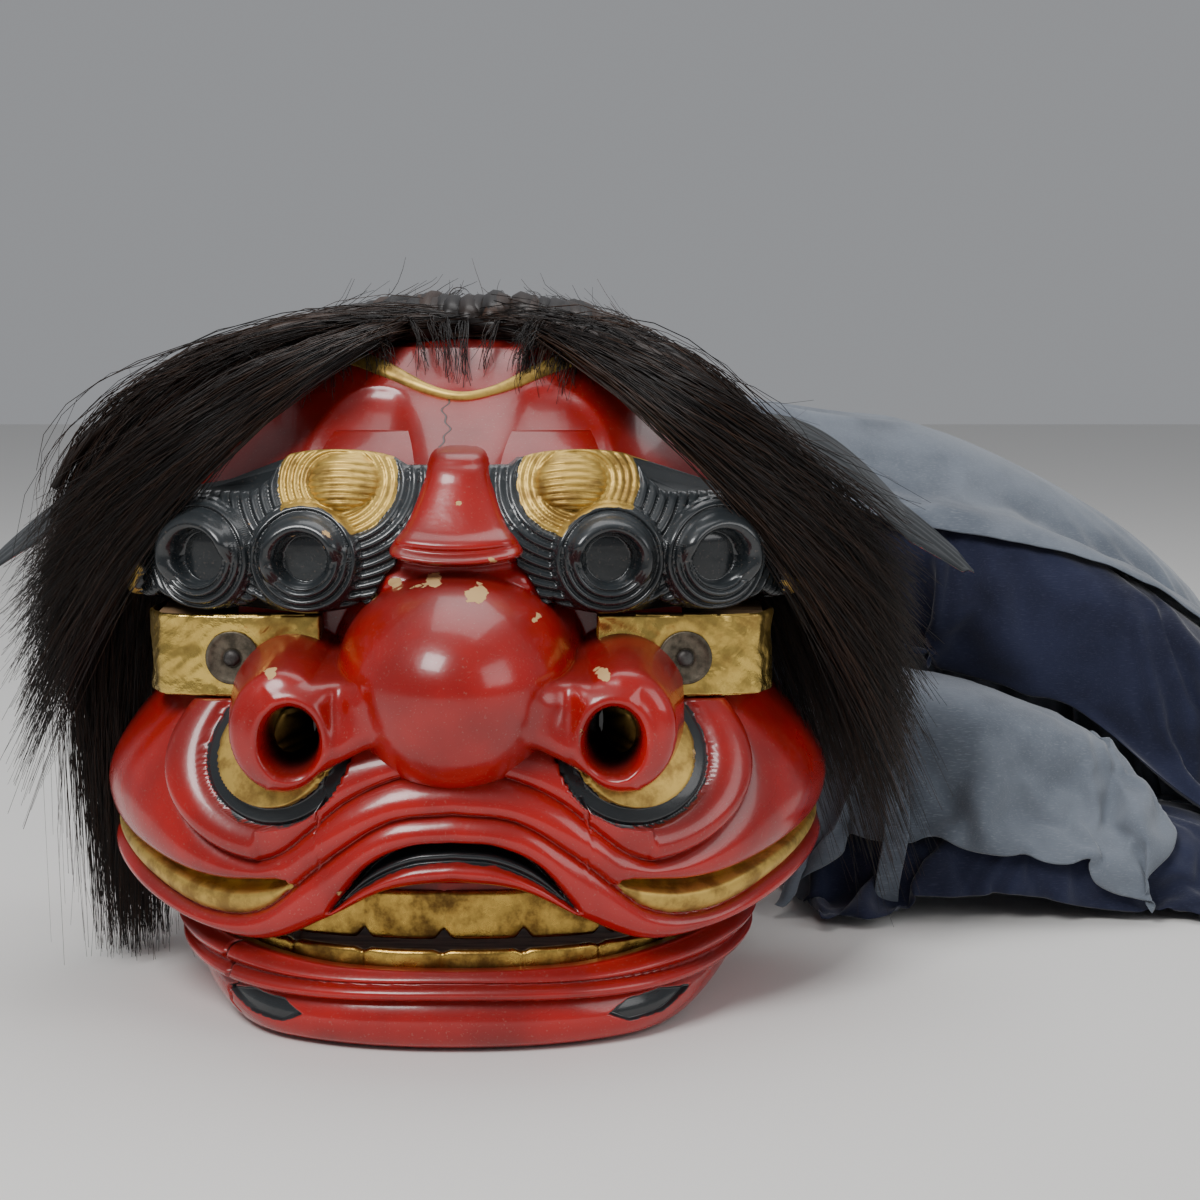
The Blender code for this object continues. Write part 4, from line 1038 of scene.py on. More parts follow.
SHELL_RADIUS, SIDE_RADIUS, RIM = 0.0285, 0.0170, 0.0050
SHELL_CENTRE = (along_brow(0.0555), 0.2510)
HUMP_CENTRE = (along_brow(0.0520), 0.2510)
CURLS = [(along_brow(0.0690), 0.2157, 0.0170), (along_brow(0.1180), 0.2150, 0.0178)]
SIDE_CURL = (along_brow(0.1545), 0.2100)


def brow_relief(along, z):
    """How far the brow stands out, and the signed distance inside its gilt parts."""
    to_shell = np.hypot(along - SHELL_CENTRE[0], (z - SHELL_CENTRE[1]) / 0.86)
    relief = 0.0024 * ribs(to_shell - SHELL_RADIUS, 0.0050)
    in_shell = SHELL_RADIUS - to_shell
    rings = 0.0018 * ribs(in_shell, 0.0034) + 0.10 * np.clip(in_shell, 0, 0.012)
    relief = np.where(in_shell > 0, rings, relief)
    swell = 1 - np.hypot((along - HUMP_CENTRE[0]) / 0.0165, (z - HUMP_CENTRE[1]) / 0.0125)
    waves = 0.0016 * ribs(z - 0.20 + 9 * (along - HUMP_CENTRE[0]) ** 2, 0.0031)
    dome = 0.0105 * np.sqrt(np.clip(1 - (1 - np.clip(swell, 0, 1)) ** 2, 0, 1)) + waves
    relief = np.where(swell > 0, np.maximum(dome, rings), relief)
    gilt = in_shell
    for centre, centre_z, radius in CURLS:
        across, up = along - centre, z - centre_z
        away = np.hypot(across, up)
        gilt = np.minimum(gilt, away - radius - 0.0075)
        turn = np.arctan2(up, across)
        hood = smoothstep(np.cos(turn - math.radians(70)), -0.75, 0.2)
        rim_radius = radius * (0.93 + 0.05 * np.cos(turn - 1.2))
        rim = np.sqrt(np.clip(1 - ((away - rim_radius) / RIM) ** 2, 0, 1))
        ridges = 0.0060 - 0.30 * np.clip(away - rim_radius, 0, 0.02) + 0.0026 * ribs(
            away - rim_radius - 0.0022, 0.0037
        )
        ripples = -0.0085 + 0.0026 * ribs(up + 5 * across**2, 0.0050)
        inner = smoothstep(away, rim_radius - RIM, rim_radius - 0.0022)
        curl = ripples * (1 - inner) + ridges * inner
        curl = np.maximum(curl, (0.0050 + 0.0075 * hood) * rim)
        reach = smoothstep(-away, -(rim_radius + 0.0110), -(rim_radius + 0.0095))
        relief = relief * (1 - reach) + curl * reach
    to_side = np.hypot((along - SIDE_CURL[0]) / 0.80, z - SIDE_CURL[1])
    in_side = SIDE_RADIUS - to_side
    side = 0.0045 + 0.0020 * ribs(in_side, 0.0036) - 0.20 * np.clip(0.010 - to_side, 0, 1)
    relief = np.where(in_side > 0, side, relief)
    return relief, np.maximum(gilt, in_side)


def make_brow(side, name):
    share = np.linspace(0, 1, 170)[:, None]
    rows = BROW_LOW + share * (0.2650 - BROW_LOW)
    inner = np.maximum(
        bridge_half(rows) - 0.002, 0.0545 * np.sqrt(np.clip(1 - ((rows - 0.164) / 0.048) ** 2, 0, 1)) - 0.003
    )
    start = np.interp(inner, arc_x, arc_angle)
    angle = start + (math.radians(88) - start) * np.linspace(0, 1, 280)[None, :]
    x, y = brow_plan(angle)
    along = along_brow(x)
    shell_top = 0.0070 * np.sqrt(np.clip(1 - ((x - 0.0555) / 0.030) ** 2, 0, 1))
    top = 0.2580 + shell_top - 0.0125 * smoothstep(x, 0.078, 0.098) - 0.010 * smoothstep(x, 0.135, 0.157)
    low = BROW_LOW + 0.0060 * (1 - np.abs(np.sin(math.pi * (x - 0.0440) / 0.0490)) ** 0.6)
    z = low + share * (top - low)
    relief, gold = brow_relief(along, z)
    relief = relief - curl_away(
        np.minimum(z - low, 0.005), 0.005
    ) - 0.6 * curl_away(np.minimum(top - z, 0.005), 0.005)
    step_x, step_y = np.gradient(x, axis=1), np.gradient(y, axis=1)
    length = np.maximum(np.hypot(step_x, step_y), 1e-9)
    lean = 0.022 * smoothstep(z, 0.222, 0.2635)
    px = x + relief * step_y / length
    py = y - relief * step_x / length + lean
    front = np.stack([side * px, py, z], -1)
    back = front * (0.90, 1, 1)
    back[..., 1] = np.maximum(back[..., 1] + 0.02, -0.050)
    points = with_back(front, back)
    marks = marks_for(points[..., 0], gold=with_pad(gold, -0.01), ridge=with_pad(ridge_of(relief), 0))
    flip = side < 0
    return grid_piece(
        name,
        points,
        "upper_head",
        black_lacquer,
        loop=True,
        caps=True,
        flip=flip,
        marks=marks,
    )


for side, hand in ((-1, "left"), (1, "right")):
    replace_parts(make_brow(side, "carved_brow_" + hand), "brow_" + hand)


# %% [markdown]
# ## The eyes
# An eye is a strip of thin gilt copper nailed over a block of wood, so it bends round the block's outer
# corner and it crinkles. A dark metal disc with a domed stud is the pupil. The strip is a path in plan
# carried upwards, with low random dents; the disc and the stud are turned profiles.

# %% Eye sheets
EYE_LOW, EYE_HIGH = (round(corner.z, 4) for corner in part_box("eye_sheet_right"))
EYE_LENGTH = 0.125
EYE_PATH = [(0.0640, -0.1045), (0.1270, -0.1018), (0.1372, -0.0985), (0.1425, -0.0900), (0.1436, -0.0520)]


def resample(points, count):
    """A smooth curve through points, at equal steps."""
    points = np.array(points, float)
    at = np.concatenate([[0], np.cumsum(np.linalg.norm(np.diff(points, axis=0), axis=1))])
    steps = np.linspace(0, at[-1], count)
    return np.stack([through(at, points[:, axis])(steps) for axis in range(points.shape[1])], -1)


def make_eye_sheet(side, name):
    path = resample(EYE_PATH, 200)
    along = unit(np.gradient(path, axis=0))
    outwards = np.stack([along[:, 1], -along[:, 0]], -1)
    length = np.linspace(0, EYE_LENGTH, 200)[:, None]
    z = np.linspace(EYE_LOW, EYE_HIGH, 70)[None, :]
    dents = 0.00065 * noise(length, z, 5 if side > 0 else 6, 0.022) + 0.00022 * noise(length, z, 7, 0.007)
    near_edge = np.minimum(np.minimum(z - EYE_LOW, EYE_HIGH - z), np.minimum(length, EYE_LENGTH - length))
    out = 0.0017 + dents - curl_away(near_edge, 0.0012)
    flat = smoothstep(-np.hypot(length - 0.041, z - 0.169), -0.018, -0.012)
    out = out * (1 - flat) + 0.0013 * flat
    front = np.concatenate(
        [path[:, None, :] + out[..., None] * outwards[:, None, :], z[..., None] + 0 * out[..., None]], -1
    )
    back = np.concatenate(
        [path[:, None, :] + 0.0004 * outwards[:, None, :] + 0 * front[..., :2], front[..., 2:]], -1
    )
    points = np.concatenate([front, back[:, ::-1]], 1) * (side, 1, 1)
    return grid_piece(name, points, "upper_head", gilt, loop=True, caps=True, flip=side < 0)


def turned(name, profile, centre, axis, body, material, segments=48):
    """A turned piece: profile is (radius, height) from the foot to the top, along an axis from a centre."""
    axis = np.array(axis, float) / np.linalg.norm(axis)
    side_a = unit(np.cross(axis, (0.0, 0.0, 1.0)))
    side_b = np.cross(axis, side_a)
    turn = np.linspace(0, 2 * math.pi, segments, endpoint=False)
    radius, height = np.array(profile, float).T
    ring = np.cos(turn)[:, None] * side_a + np.sin(turn)[:, None] * side_b
    points = np.array(centre) + radius[:, None, None] * ring + height[:, None, None] * axis
    return grid_piece(name, points, body, material, loop=True, caps=True, flip=True)


disc_profile = [
    (0.0122, 0.0), (0.0125, 0.0004), (0.0125, 0.0012), (0.0120, 0.0016), (0.0108, 0.0015), (0.0104, 0.0012)
]
disc_profile += [(0.0060, 0.0013), (0.0046, 0.0011), (0.0042, 0.0008), (0.0040, 0.0008)]
stud_profile = [
    (0.0039, 0.0009), (0.0039, 0.0015), (0.0036, 0.0024), (0.0028, 0.0031), (0.0016, 0.0035), (0.0004, 0.0036)
]
for side, hand in ((-1, "left"), (1, "right")):
    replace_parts(make_eye_sheet(side, "gilt_eye_" + hand), "eye_sheet_" + hand)
    forward = (side * 0.043, -1.0, 0.0)
    centre = (side * 0.105, -0.1059, 0.169)
    disc = turned("pupil_" + hand, disc_profile, centre, forward, "upper_head", pupil_metal)
    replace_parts(disc, "pupil_disc_" + hand)
    stud = turned("stud_" + hand, stud_profile, centre, forward, "upper_head", iron)
    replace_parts(stud, "pupil_stud_" + hand)

# %% [markdown]
# ## The mouth
# The teeth are a strip of gilt copper bent round each gum, beaten over so that each tooth is a little
# crowned, with a groove and a notch between two. The jaw is one bent block like the muzzle: a chin, two
# thin lips above it, and sides that draw in towards the table. Both are reliefs over the distance round the
# mouth and the height.


# %% Teeth
def make_teeth(name, plan, depth, low, high, spread, pitch, shift, notch):
    angles = np.radians(np.linspace(-spread, spread, 420))[:, None]
    at = lip_point(angles, plan, -depth)
    round_mouth = np.cumsum(
        np.hypot(np.diff(at[0][:, 0], prepend=at[0][0, 0]), np.diff(at[1][:, 0], prepend=at[1][0, 0]))
    )
    round_mouth = (round_mouth - round_mouth[-1] / 2)[:, None]
    cell = (round_mouth - shift) / pitch
    from_seam = np.abs(cell - np.round(cell)) * pitch
    share = np.linspace(0, 1, 26)[None, :]
    bite = notch * smoothstep(-from_seam, -0.0045, 0)
    bottom, top = (low + bite, high + 0 * bite) if notch > 0 else (low + 0 * bite, high + bite)
    z = bottom + (top - bottom) * share
    crown = 0.0011 * smoothstep(from_seam, 0.0, 0.010) - 0.0012 * smoothstep(-from_seam, -0.0011, 0)
    edge = np.minimum(z - bottom, top - z)
    out = crown - curl_away(
        np.minimum(edge, 0.0016), 0.0016
    ) - depth + 0.0003 * noise(round_mouth, z, 9, 0.018)
    x, y = lip_point(angles, plan, out)
    back_x, back_y = lip_point(angles, plan, -depth - 0.0028 + 0 * z)
    front = np.stack([x, y, z + 0 * x], -1)
    back = np.stack([back_x, back_y, z + 0 * x], -1)[:, ::-1]
    return grid_piece(
        name,
        np.concatenate([front, back], 1),
        "jaw" if "lower" in name else "upper_head",
        tooth_gilt,
        loop=True,
        caps=True,
    )


def tarnished_gilt():
    """The gilt of the teeth: older and browner than the eyes, and bright only where the lips rub it."""
    made, tree, shader = new_material("tooth gilt")
    place = add(tree, "ShaderNodeTexCoord")
    stain = cloud(tree, place, 60, 8, 0.7)
    colour = mix_colour(
        tree, ramp(tree, stain.outputs["Fac"], 0.36, 0.68), (0.50, 0.32, 0.075), (0.14, 0.075, 0.022)
    )
    tree.links.new(colour, shader.inputs["Base Color"])
    shader.inputs["Metallic"].default_value = 1.0
    tree.links.new(
        mix_value(tree, ramp(tree, stain.outputs["Fac"], 0.35, 0.75), 0.25, 0.50), shader.inputs["Roughness"]
    )
    emboss(tree, shader, 0.35, 0.0015, stain.outputs["Fac"])
    return made


tooth_gilt = tarnished_gilt()
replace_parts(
    make_teeth("upper_tooth_strip", MOUTH_PLAN, 0.0195, 0.0442, 0.0668, 92, 0.037, -0.006, 0.0042),
    "upper_teeth",
)
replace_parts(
    make_teeth("lower_tooth_strip", JAW_PLAN, 0.0105, 0.0194, 0.0433, 92, 0.037, -0.006, -0.0014),
    "lower_teeth",
)

# %% The jaw
JAW_TOP, JAW_TAPER, JAW_LEDGE = 0.040, 0.026, 0.0188


def jaw_relief(x, z, top):
    """The jaw's face: a chin, then two thin lips. Also the signed distances inside black and crack."""
    rise = np.exp(-((x / 0.055) ** 2))
    low_crease = 0.0215 + 0.0025 * rise
    high_crease = 0.0290 + 0.0022 * rise
    chin = 0.0075 * hump(z / low_crease * 0.93, 0.6) - 0.0015
    middle = 0.0015 + 0.0062 * hump((z - low_crease) / (high_crease - low_crease), 0.45)
    upper = -0.0010 + 0.0062 * hump(((z - high_crease) / (top - high_crease)) * 0.72 + 0.04, 0.5)
    face = np.where(z < low_crease, chin, np.where(z < high_crease, middle, upper))
    face = face - 0.006 * smoothstep(z, top - 0.006, top)
    half = np.abs(x)
    sickle = 0.0145 + 2.2 * (half - 0.068) ** 2
    thick = 0.0052 * np.clip((half - 0.066) / 0.010, 0, 1) * np.clip((0.108 - half) / 0.016, 0, 1)
    black = np.where((half > 0.066) & (half < 0.108), thick - np.abs(z - sickle), -0.01)
    face = face - 0.0022 * smoothstep(black, 0, 0.0012)
    line = -0.1035 + 0.0022 * np.sin(z * 330) + 0.0010 * np.sin(z * 900 + 2)
    crack = x - line
    return face - 0.0025 * smoothstep(-np.abs(crack), -0.0012, 0), black, crack


def make_jaw():
    angles = np.radians(np.linspace(-100, 100, 460))[:, None]
    centre_x = lip_point(angles, JAW_PLAN, 0)[0]
    top = JAW_TOP - 0.004 + 0.006 * smoothstep(np.abs(centre_x), 0.05, 0.14)
    share = np.linspace(0, 1, 110)[None, :]
    z = top * share
    side = smoothstep(np.abs(angles), math.radians(30), math.radians(75))
    taper = JAW_TAPER * side * (np.maximum(JAW_TOP - z, 0) / JAW_TOP) ** 1.5
    face, black, crack = jaw_relief(centre_x + 0 * z, z, top)
    foot = 0.003 * (1 - np.clip(z / 0.004, 0, 1)) ** 2
    out = face - taper - foot
    inner_taper = 0.012 * side
    back_out = np.concatenate(
        [-0.008 + 0 * inner_taper, -0.0088 + 0 * side, -0.026 + 0 * side, -0.026 - inner_taper], 1
    )
    back_z = np.concatenate([top, JAW_LEDGE + 0 * side, JAW_LEDGE + 0 * side, 0 * side], 1)
    x, y = lip_point(angles, JAW_PLAN, np.concatenate([out, back_out], 1))
    points = np.stack([x, y, np.concatenate([z + 0 * out, back_z], 1)], -1)
    pad = np.zeros((len(angles), 4))
    marks = marks_for(
        points[..., 0],
        black=np.concatenate([black, pad - 0.01], 1),
        crack=np.concatenate([crack, pad + 0.01], 1),
        ridge=np.concatenate([ridge_of(face), pad], 1),
    )
    return grid_piece("carved_jaw", points, "jaw", red, loop=True, caps=True, marks=marks)


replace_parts(make_jaw(), "lower_jaw")

# %% [markdown]
# ## The ears
# An ear is a long drooping leaf with a thick rolled rim, black above and red underneath. Across it the leaf
# is a shallow channel; along it the width swells and runs out to a point, and the whole leaf bends down as
# it goes.

# %% Ears
EAR_PIVOT = next(joint["pos_m"] for joint in frame["joints"] if joint["name"] == "ear_right_flap")


def make_ear(side, name):
    t = np.linspace(0, 1, 150)[:, None]
    turn = np.linspace(0, 2 * math.pi, 96, endpoint=False)[None, :]
    middle_x = 0.004 + 0.132 * t
    middle_z = 0.010 * np.sin(math.pi * np.minimum(t * 1.4, 1)) - 0.076 * t**1.5
    width = 0.007 + 0.026 * np.sin(math.pi * np.minimum(t * 0.93 + 0.05, 1)) ** 0.8 * (1 - 0.45 * t)
    width = width * (1 - smoothstep(t, 0.93, 1.0) * 0.85)
    across = width * np.cos(turn)
    rim = smoothstep(np.abs(np.cos(turn)), 0.70, 0.90)
    thick = 0.0058 * (1 - 0.55 * t) * (0.55 + 0.75 * rim) * (0.25 + 0.75 * smoothstep(1 - t, 0, 0.08))
    up = thick / 2 * power(np.sin(turn), 0.6)
    knob = 0.0035 * np.exp(-(((t - 0.17) / 0.045) ** 2)) * np.exp(
        -(((across + 0.012) / 0.010) ** 2)
    ) * (np.sin(turn) > 0)
    ribs_along = 0.0004 * np.sin(across * 900) * (1 - rim) * (np.sin(turn) > 0)
    z = middle_z + up + knob + ribs_along - 6.0 * across * across + 0.36 * across
    hold = smoothstep(t, 0.075, 0.14)
    cut_back = np.abs(across) > 0.0075
    x = np.where(cut_back & (t < 0.12), np.maximum(middle_x, 0.0165), middle_x) + 0 * turn
    points = np.stack(
        np.broadcast_arrays(side * (EAR_PIVOT[0] + x), EAR_PIVOT[1] + 0.024 * t + across, EAR_PIVOT[2] + z),
        -1,
    )
    under = -np.sin(turn) * 0.004 - 0.0006 + 0 * t
    marks = marks_for(points[..., 0], black=-under, ridge=rim * 0.3 * hold)
    return grid_piece(
        name,
        points,
        "ear_left_body" if side < 0 else "ear_right_body",
        red,
        loop=True,
        caps=True,
        flip=side > 0,
        marks=marks,
    )


def make_barrel(side, name):
    """The knuckle at the ear's root, round its pin."""
    profile = [
        (0.0026, -0.0080),
        (0.0058, -0.0080),
        (0.0062, -0.0076),
        (0.0062, 0.0076),
        (0.0058, 0.0080),
        (0.0026, 0.0080),
    ]
    centre = (side * EAR_PIVOT[0], EAR_PIVOT[1], EAR_PIVOT[2])
    return turned(
        name,
        profile,
        centre,
        (0, 1, 0),
        "ear_left_body" if side < 0 else "ear_right_body",
        wood,
        32,
    )


for side, hand in ((-1, "left"), (1, "right")):
    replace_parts(make_ear(side, "carved_ear_" + hand), "ear_" + hand)
    make_barrel(side, "ear_knuckle_" + hand)

# %% [markdown]
# ## Plain pieces that keep their frame shape
# Rods, grips, boards, brackets and pegs are plain carpentry, so their frame meshes stay and only get a
# finish.

# %% Finishes for the frame's own pieces
def plain_red():
    """The thin red paint inside the mouth: no polish, and wood grain telegraphs through."""
    made, tree, shader = new_material("thin red paint")
    place = add(tree, "ShaderNodeTexCoord")
    patchy = cloud(tree, place, 45, 6, 0.6)
    colour = mix_colour(
        tree, ramp(tree, patchy.outputs["Fac"], 0.38, 0.66), (0.27, 0.012, 0.008), (0.10, 0.008, 0.006)
    )
    tree.links.new(colour, shader.inputs["Base Color"])
    shader.inputs["Roughness"].default_value = 0.5
    emboss(tree, shader, 0.3, 0.0008, patchy.outputs["Fac"])
    return made


def finish(names, material):
    """Gives frame pieces a material, keeping their meshes as they are."""
    for name in names:
        mesh = bpy.data.objects[name].data
        mesh.materials.clear()
        mesh.materials.append(material)
        print("finished", name)


inner_red = plain_red()
finish(["palate", "upper_gum", "lower_gum"], inner_red)
finish(["eye_block_left", "eye_block_right", "ear_bracket_left", "ear_bracket_right", "rim_batten"], wood)
finish(["hinge_rod", "hinge_peg_left", "hinge_peg_right", "upper_grip", "lower_grip", "jaw_floor"], wood)
finish(["jaw_arm_left", "jaw_arm_right"], wood)
finish(["ear_pin_left", "ear_pin_right"] + [f"cloth_tack_{number}" for number in range(1, 9)], iron)

# %% [markdown]
# ## The mane
# The mane is horsehair sewn to a leather strip over the crown. It parts in the middle and falls down both
# sides. Hair keeps together in locks, so each lock is one guide curve, and its strands are that curve with
# a small offset which closes up towards the tip. Under the fine strands lie thick ones of the same kind,
# which stop the light.


# %% Strands
def hair_material():
    made, tree, shader = new_material("horsehair")
    place = add(tree, "ShaderNodeTexCoord")
    streak = cloud(tree, place, 90, 2)
    tone = math_node(tree, "ADD", mark(tree, "tone"), math_node(tree, "MULTIPLY", streak.outputs["Fac"], 0.3))
    colour = mix_colour(tree, ramp(tree, tone, 0.45, 1.25), (0.0075, 0.0055, 0.0050), (0.045, 0.020, 0.010))
    tree.links.new(colour, shader.inputs["Base Color"])
    shader.inputs["Roughness"].default_value = 0.42
    shader.inputs["Specular IOR Level"].default_value = 0.35
    return made


def leather():
    made, tree, shader = new_material("leather")
    place = add(tree, "ShaderNodeTexCoord")
    pores = add(tree, "ShaderNodeTexVoronoi", {"Scale": 700}, {"Vector": place.outputs["Object"]})
    wear = cloud(tree, place, 40, 6)
    colour = mix_colour(
        tree, ramp(tree, wear.outputs["Fac"], 0.38, 0.66), (0.070, 0.040, 0.024), (0.028, 0.017, 0.012)
    )
    tree.links.new(colour, shader.inputs["Base Color"])
    shader.inputs["Roughness"].default_value = 0.6
    emboss(tree, shader, 0.4, 0.0003, pores.outputs["Distance"])
    return made


horsehair = hair_material()
finish(["hair_strip"], leather())


def bezier(control, t):
    """Cubic Bezier curves: control is (curves, 4, 3) and t the places along them."""
    weights = np.stack([(1 - t) ** 3, 3 * t * (1 - t) ** 2, 3 * t * t * (1 - t), t**3], 0)
    return np.einsum("nkc,kt->ntc", control, weights)


def tubes(name, lines, radius, tone, sides, body):
    """Many thin closed tubes as one mesh: lines is (strands, points, 3), radius (strands, points)."""
    strands, steps, _ = lines.shape
    along = unit(np.gradient(lines, axis=1))
    side_a = unit(np.cross(along, (0.31, 0.83, 0.46)))
    side_b = np.cross(along, side_a)
    turn = np.linspace(0, 2 * math.pi, sides, endpoint=False)
    ring = np.cos(turn)[:, None] * side_a[:, :, None, :] + np.sin(turn)[:, None] * side_b[:, :, None, :]
    points = lines[:, :, None, :] + radius[:, :, None, None] * ring
    index = np.arange(strands * steps * sides).reshape(strands, steps, sides)
    near, far = index[:, :-1], index[:, 1:]
    quads = np.stack([near, np.roll(near, -1, 2), np.roll(far, -1, 2), far], -1).reshape(-1, 4)
    ends = np.concatenate([index[:, 0, ::-1], index[:, -1]], 0)
    mesh = bpy.data.meshes.new(name)
    mesh.from_pydata(points.reshape(-1, 3), [], quads.tolist() + ends.tolist())
    mesh.polygons.foreach_set("use_smooth", np.full(len(mesh.polygons), True))
    values = np.repeat(tone, steps * sides).astype(np.float32)
    mesh.attributes.new("tone", "FLOAT", "POINT").data.foreach_set("value", values)
    mesh.materials.append(horsehair)
    piece = bpy.data.objects.new(name, mesh)
    bpy.context.scene.collection.objects.link(piece)
    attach(piece, body)
    print(f"{name}: {strands} strands, {len(mesh.polygons)} faces")
    return piece


def locks_to_strands(name, control, per_lock, spread, thickness, seed, sides=3, shed=1.0, until=1.0):
    """Strands round each lock's guide: they start spread out, close up along it, and stray at its end."""
    rng = np.random.default_rng(seed)
    t = np.linspace(0, 1, 10)
    reach = np.repeat(control, per_lock, 0)
    count = len(reach)
    stray = np.array([[0.55, 0.55, 0.55], [1.0, 1.0, 1.0], [1.0, 1.0, 1.0], [1.2, 1.3, 4.0]]) * spread
    own = reach + rng.normal(0, 1, (count, 4, 3)) * stray
    lines = bezier(own, t * until)
    phase = rng.uniform(0, 2 * math.pi, (count, 1, 3))
    waves = np.sin(t[None, :, None] * rng.uniform(5, 11, (count, 1, 3)) + phase) * (t**1.5)[None, :, None]
    lines = lines + waves * 0.0016 * shed
    lines[..., 2] = np.maximum(lines[..., 2], 0.004)
    radius = thickness * rng.uniform(0.7, 1.2, (count, 1)) * (1 - 0.65 * t[None, :] ** 2)
    tone = np.repeat(rng.uniform(0, 1, len(control)), per_lock) * 0.6 + rng.uniform(0, 0.4, count)
    return tubes(name, lines, radius, tone, sides, "upper_head")


def side_locks(side, count, seed, long):
    """Guides for one side of the mane, from the strip over the shoulder to hanging ends."""
    rng = np.random.default_rng(seed)
    u = rng.uniform(0, 1, count)
    v, w, q = rng.uniform(0, 1, (3, count))
    swing = np.radians(90 - 43 * u)
    root = shell_point(np.radians(84) + rng.uniform(-0.08, 0.16, count), swing, 0.006)
    first = root + np.stack([0.020 + 0.040 * (1 - u), -0.006 - 0.018 * q, 0.008 + 0.010 * (1 - u) * v], -1)
    if long:
        low = 0.008 + 0.205 * q**1.3
        tip = np.stack([0.163 + (0.018 + 0.16 * low) * v, -0.030 + 0.052 * w, low], -1)
        elbow = np.stack([0.158 + 0.062 * v, -0.040 + 0.052 * w, 0.246 + 0.052 * v + 0.010 * (1 - u)], -1)
    else:
        first[:, 2] -= 0.003
        tip = np.stack([0.162 + 0.058 * v, -0.040 + 0.052 * w, 0.226 - 0.050 * v - 0.120 * q**1.5], -1)
        elbow = np.stack([0.112 + 0.038 * v, -0.050 + 0.046 * w, 0.256 + 0.014 * v + 0.008 * (1 - u)], -1)
    return np.stack([root, first, elbow, tip], 1) * (side, 1, 1)


def drape_locks(side, count, seed):
    """Guides that part at the crown, cross the side of the forehead and fall over the end of the brow."""
    rng = np.random.default_rng(seed)
    u, v, w, q = rng.uniform(0, 1, (4, count))
    root = shell_point(np.radians(80) + 0 * u, np.radians(84 - 24 * u), 0.008)
    first = np.stack([0.053 + 0.022 * v, -0.097 - 0.006 * w, 0.308 + 0.006 * v], -1)
    second = np.stack([0.121 + 0.040 * v, -0.140 + 0.040 * v, 0.263 + 0.018 * v], -1)
    tip = np.stack([0.192 + 0.030 * w, -0.060 + 0.024 * w, 0.202 - 0.120 * q * w], -1)
    return np.stack([root, first, second, tip], 1) * (side, 1, 1)


def crown_locks(count, seed):
    """Guides over the crown, combed back from the strip and down towards the cloth."""
    rng = np.random.default_rng(seed)
    swing = np.radians(rng.uniform(52, 128, count))
    lean = (swing - math.pi / 2) * 0.25
    root = shell_point(np.radians(82) + rng.uniform(-0.05, 0.15, count), swing, 0.006)
    first = shell_point(math.pi / 2 + 0.12, swing - lean * 0.2, 0.022) + rng.normal(0, 0.002, (count, 3))
    second = shell_point(math.pi / 2 + 0.50, swing - lean, 0.021) + rng.normal(0, 0.003, (count, 3))
    tip = shell_point(math.pi / 2 + rng.uniform(0.60, 0.80, count), swing - lean * 1.4, 0.008)
    return np.stack([root, first, second, tip], 1)


def fringe_locks(count, seed):
    """A few short locks that fall forward over the gilt bead."""
    rng = np.random.default_rng(seed)
    x = rng.uniform(-0.095, 0.105, count)
    z = 0.3065 - 0.9 * np.abs(x) ** 1.5 * 0.9
    root = shell_point(np.radians(80) + 0 * x, np.arccos(np.clip(x / 0.150, -1, 1)), 0.007)
    low_z = 0.3010 - 2.6 * x * x + rng.uniform(-0.006, 0.006, count)
    tip = np.stack([x * 1.16, -skull_depth(x * 1.16, low_z) - 0.004, low_z], -1)
    first = root + np.stack([0.1 * x, -0.012 + 0 * x, 0.008 + 0 * x], -1)
    second = tip + np.stack([-0.06 * x, -0.004 + 0 * x, 0.010 + 0 * z], -1)
    return np.stack([root, first, second, tip], 1)


# %% Both sides, the crown and the fringe
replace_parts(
    locks_to_strands("mane_left_core", side_locks(-1, 95, 11, True), 1, 0.001, 0.0058, 12, 8, until=0.80),
    "hair_left",
)
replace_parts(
    locks_to_strands("mane_right_core", side_locks(1, 85, 13, False), 1, 0.001, 0.0044, 14, 8, until=0.76),
    "hair_right",
)
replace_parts(locks_to_strands("mane_crown_core", crown_locks(130, 15), 1, 0.001, 0.0062, 16, 8), "hair_crown")
locks_to_strands("mane_left_inner", side_locks(-1, 130, 21, True), 16, 0.0040, 0.00034, 22)
locks_to_strands("mane_left_outer", side_locks(-1, 170, 23, True), 13, 0.0055, 0.00030, 24)
locks_to_strands("mane_right_inner", side_locks(1, 130, 25, False), 16, 0.0038, 0.00032, 26)
locks_to_strands("mane_right_outer", side_locks(1, 120, 27, False), 14, 0.0060, 0.00028, 28)
locks_to_strands("mane_crown_hair", crown_locks(165, 29), 12, 0.0032, 0.00034, 30)
locks_to_strands("mane_left_wisps", side_locks(-1, 75, 33, True), 7, 0.0085, 0.00024, 34, shed=4.0)
locks_to_strands("mane_right_wisps", side_locks(1, 75, 35, False), 7, 0.0085, 0.00024, 36, shed=4.5)
locks_to_strands("mane_left_drape", drape_locks(-1, 130, 37), 13, 0.0036, 0.00032, 38, shed=2.2)
locks_to_strands("mane_right_drape", drape_locks(1, 130, 39), 13, 0.0036, 0.00032, 40, shed=2.2)
locks_to_strands("mane_fringe", fringe_locks(42, 31), 16, 0.0026, 0.00028, 32)


# %% [markdown]
# ## The cloth body
# The dancer's cloth is nailed round the open rear of the head and lies beside it in a heap. Four sheets
# make the heap: a navy one on the table, a crumpled lining, a navy panel, and the wide grey sheet over all.
# Sculpted folds look like sculpture, so each sheet starts flat above its heap and is let fall. It is cut a
# little larger than it looks, as real cloth in a heap is, and the spare width is what makes the wrinkles.


